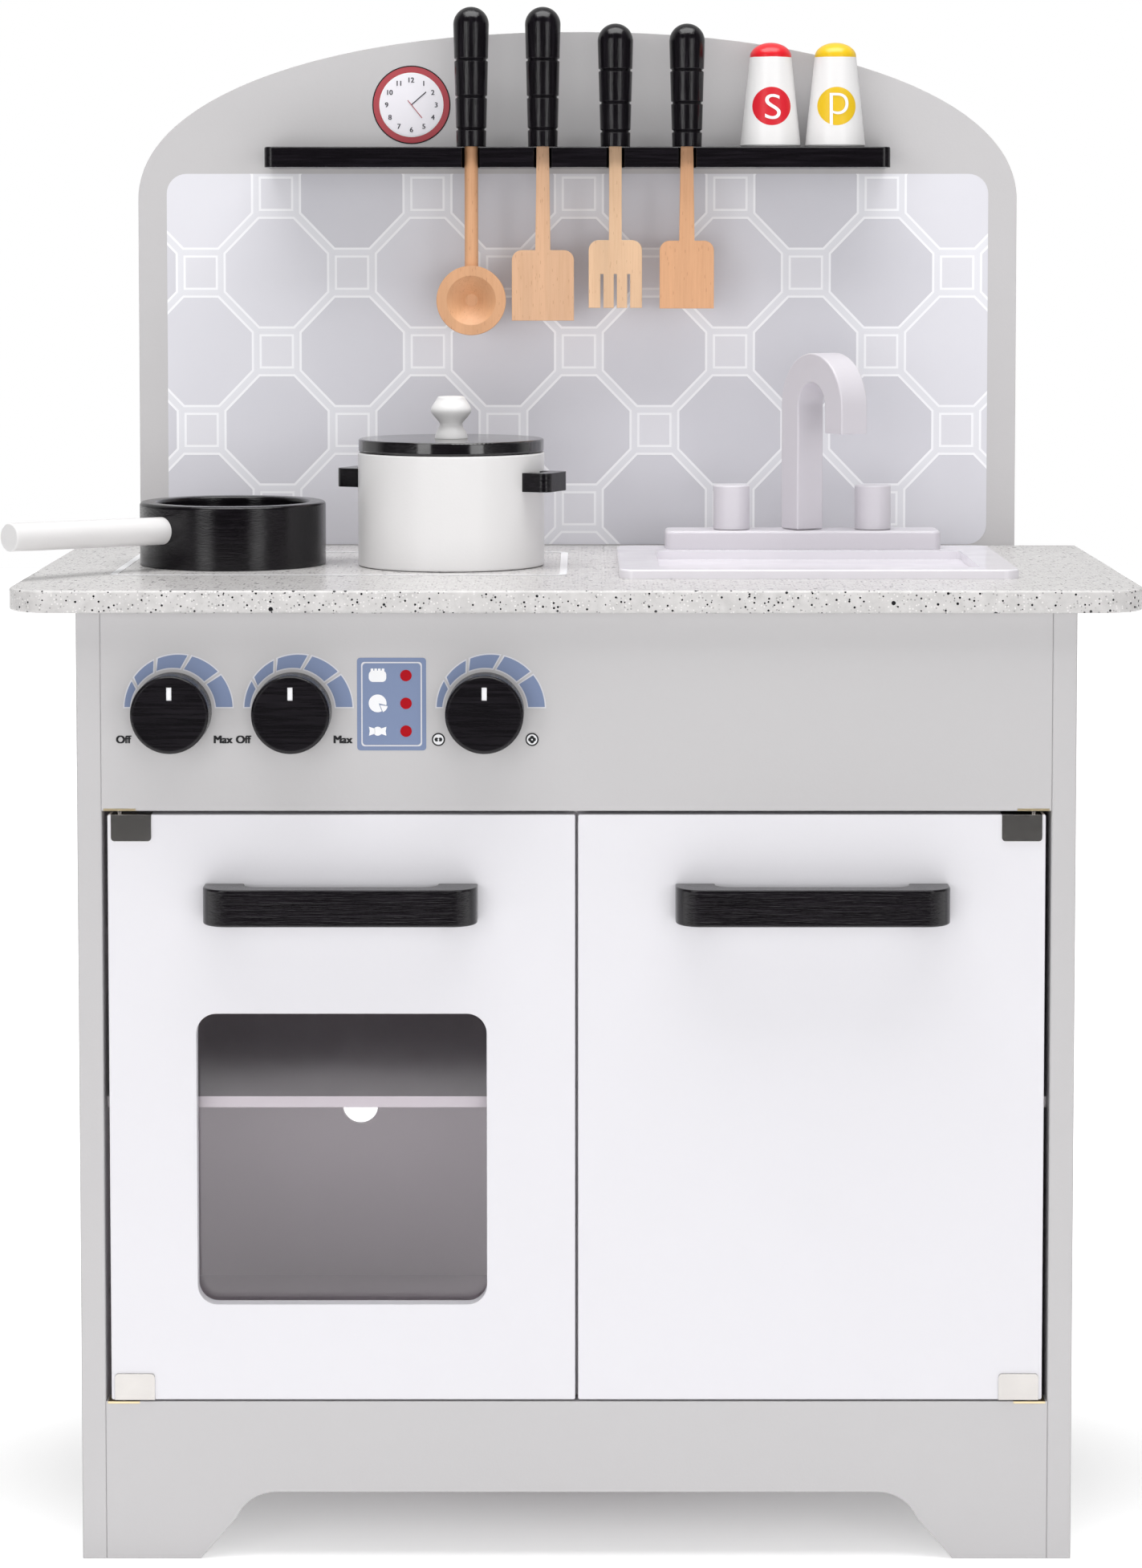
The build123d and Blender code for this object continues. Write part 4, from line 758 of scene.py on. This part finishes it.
for shaker, body, letter, ink, height, right, drop in (
    ("salt_shaker", "salt", "s", salt_ink, 14.7 * MM, 0.5 * MM, 0.3 * MM),
    ("pepper_shaker", "pepper", "p", pepper_ink, 19.0 * MM, 1.3 * MM, 1.8 * MM),
):
    low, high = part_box(shaker)
    spot = ((low.x + high.x) / 2, low.z + SHAKER_PRINT_Z)
    label = flat_print(f"{shaker}_label", filled_disc_rings(spot, SHAKER_PRINT_RADIUS), low.y,
                       ink, body)
    wrap_on_shaker(label, shaker, 1)
    mark = lettering(f"{shaker}_letter", letter, (spot[0] + right, spot[1] - drop), height,
                     low.y, white_ink, body, thin=LETTER_THIN, cuts=3)
    wrap_on_shaker(mark, shaker, 3)

# ---------------------------------------------------------------- floor, light and camera

FLOOR_SIZE = 12.0
FLOOR_Z = -0.0002
PAINTED_SHADOW_GLOW = 0.05  # glow of the floor in the painted shadow under the cabinet; it rises to 1 away from it
PAINTED_SHADOW_FADE_START = 0.02
PAINTED_SHADOW_FADE_END = 0.30
PAINTED_SHADOW_STRETCH = (0.35, 1.0, 1.0)
bpy.ops.mesh.primitive_plane_add(size=FLOOR_SIZE, location=(0, 0, FLOOR_Z))
floor = bpy.context.object
floor.name = "studio_floor"
floor_material, floor_tree, floor_place = start_material("studio_floor")
floor_tint = mix_colour(floor_tree, noise(floor_tree, floor_place, 3.0), (0.88, 0.88, 0.88, 1),
                        (0.91, 0.91, 0.91, 1))
bounced = add_node(floor_tree, "ShaderNodeLightPath").outputs["Is Diffuse Ray"]
# Painted shadow: the floor's glow is kept low close under the cabinet and fades up to full white
# away from it. The glow is seen by the camera and in reflections, not as light on other things.
painted_shadow_place = stretched(floor_tree, floor_place, PAINTED_SHADOW_STRETCH)
painted_shadow_distance = add_node(floor_tree, "ShaderNodeVectorMath", {0: painted_shadow_place}, operation="LENGTH")
painted_shadow_fade = ramp(floor_tree, painted_shadow_distance.outputs["Value"], PAINTED_SHADOW_FADE_START, PAINTED_SHADOW_FADE_END)
glow_with_painted_shadow = calc(floor_tree, "ADD", PAINTED_SHADOW_GLOW, calc(floor_tree, "MULTIPLY", painted_shadow_fade, 1 - PAINTED_SHADOW_GLOW))
glow_with_painted_shadow = calc(floor_tree, "MULTIPLY", calc(floor_tree, "SUBTRACT", 1.0, bounced), glow_with_painted_shadow)
end_material(floor_material, floor_tint, 0.6, edge=0.1 * MM,
             **{"Emission Color": (1, 1, 1, 1), "Emission Strength": glow_with_painted_shadow})
floor.data.materials.append(floor_material)

# A dark card on the studio floor in front, seen only in reflections.
CARD_PLACE = (0, -3.6, 0.001)
CARD_SIZE = (7.0, 4.6, 1.0)
bpy.ops.mesh.primitive_plane_add(size=1.0, location=CARD_PLACE)
card = bpy.context.object
card.name = "dark_card"
card.scale = CARD_SIZE
card.visible_camera = False
card.visible_diffuse = False
card.visible_shadow = False
card_material = start_material("dark_card")[0]
end_material(card_material, (0.02, 0.02, 0.02, 1), 0.9, edge=0.1 * MM)
card.data.materials.append(card_material)

# The world is white to the camera and dim as a light. In reflections it is dark in front and
# bright behind.
SKY_GLOW = 0.28
FRONT_IN_REFLECTIONS = 0.05
BACK_IN_REFLECTIONS = 0.6
BRIGHT_FROM = 0.3

world = bpy.data.worlds.new("studio")
bpy.context.scene.world = world
world.use_nodes = True
sky = world.node_tree
sky.nodes.clear()
rays = add_node(sky, "ShaderNodeLightPath").outputs
direction = add_node(sky, "ShaderNodeTexCoord").outputs["Generated"]
backward = add_node(sky, "ShaderNodeSeparateXYZ", {"Vector": direction}).outputs["Y"]
reflected = add_node(sky, "ShaderNodeMapRange", {
    "Value": backward, "From Min": 0.0, "From Max": BRIGHT_FROM,
    "To Min": FRONT_IN_REFLECTIONS, "To Max": BACK_IN_REFLECTIONS}).outputs[0]
seen = calc(sky, "MULTIPLY", rays["Is Camera Ray"], 1 - SKY_GLOW)
above_glow = calc(sky, "SUBTRACT", reflected, SKY_GLOW)
mirrored = calc(sky, "MULTIPLY", rays["Is Glossy Ray"], above_glow)
strength = calc(sky, "ADD", SKY_GLOW, calc(sky, "ADD", seen, mirrored))
backdrop = add_node(sky, "ShaderNodeBackground", {"Color": (1, 1, 1, 1), "Strength": strength})
add_node(sky, "ShaderNodeOutputWorld", {"Surface": backdrop.outputs[0]})


def softbox(name, place, target, size, power):
    """A large rectangular light that faces a target."""
    data = bpy.data.lights.new(name, "AREA")
    data.shape = "RECTANGLE"
    data.size, data.size_y = size
    data.energy = power
    lamp = bpy.data.objects.new(name, data)
    bpy.context.collection.objects.link(lamp)
    lamp.location = place
    lamp.rotation_euler = (Vector(target) - Vector(place)).to_track_quat("-Z", "Y").to_euler()
    return lamp


BODY_MIDDLE = (0, 0, 0.40)
KEY_SIZE = (0.9, 1.4)
softbox("key_left", (-1.6, -2.5, 1.05), BODY_MIDDLE, KEY_SIZE, power=11)
softbox("key_right", (1.6, -2.5, 0.95), BODY_MIDDLE, KEY_SIZE, power=9.5)
softbox("overhead", (0.0, -0.3, 2.3), (0, 0, 0.5), size=(2.0, 1.2), power=40)
front = softbox("front_fill", (0.0, -3.0, 0.45), BODY_MIDDLE, size=(2.4, 1.0), power=27)
front.visible_glossy = False

LENS = 85.95
SENSOR = 36.0
SHIFT_X = -0.0084
SHIFT_Y = -0.20
CAMERA_X = 4 * MM
CAMERA_BACK = 1948 * MM
CAMERA_HEIGHT = 696.9 * MM
CAMERA_DOWN = 3.406  # degrees below level
camera_data = bpy.data.cameras.new("camera")
camera_data.lens = LENS
camera_data.sensor_width = SENSOR
camera_data.shift_x = SHIFT_X
camera_data.shift_y = SHIFT_Y
camera = bpy.data.objects.new("camera", camera_data)
bpy.context.collection.objects.link(camera)
camera.location = (CAMERA_X, WORKTOP_FRONT - CAMERA_BACK, CAMERA_HEIGHT)
camera.rotation_euler = (radians(90 - CAMERA_DOWN), 0, 0)
bpy.context.scene.camera = camera

bpy.context.scene.view_settings.view_transform = "Standard"
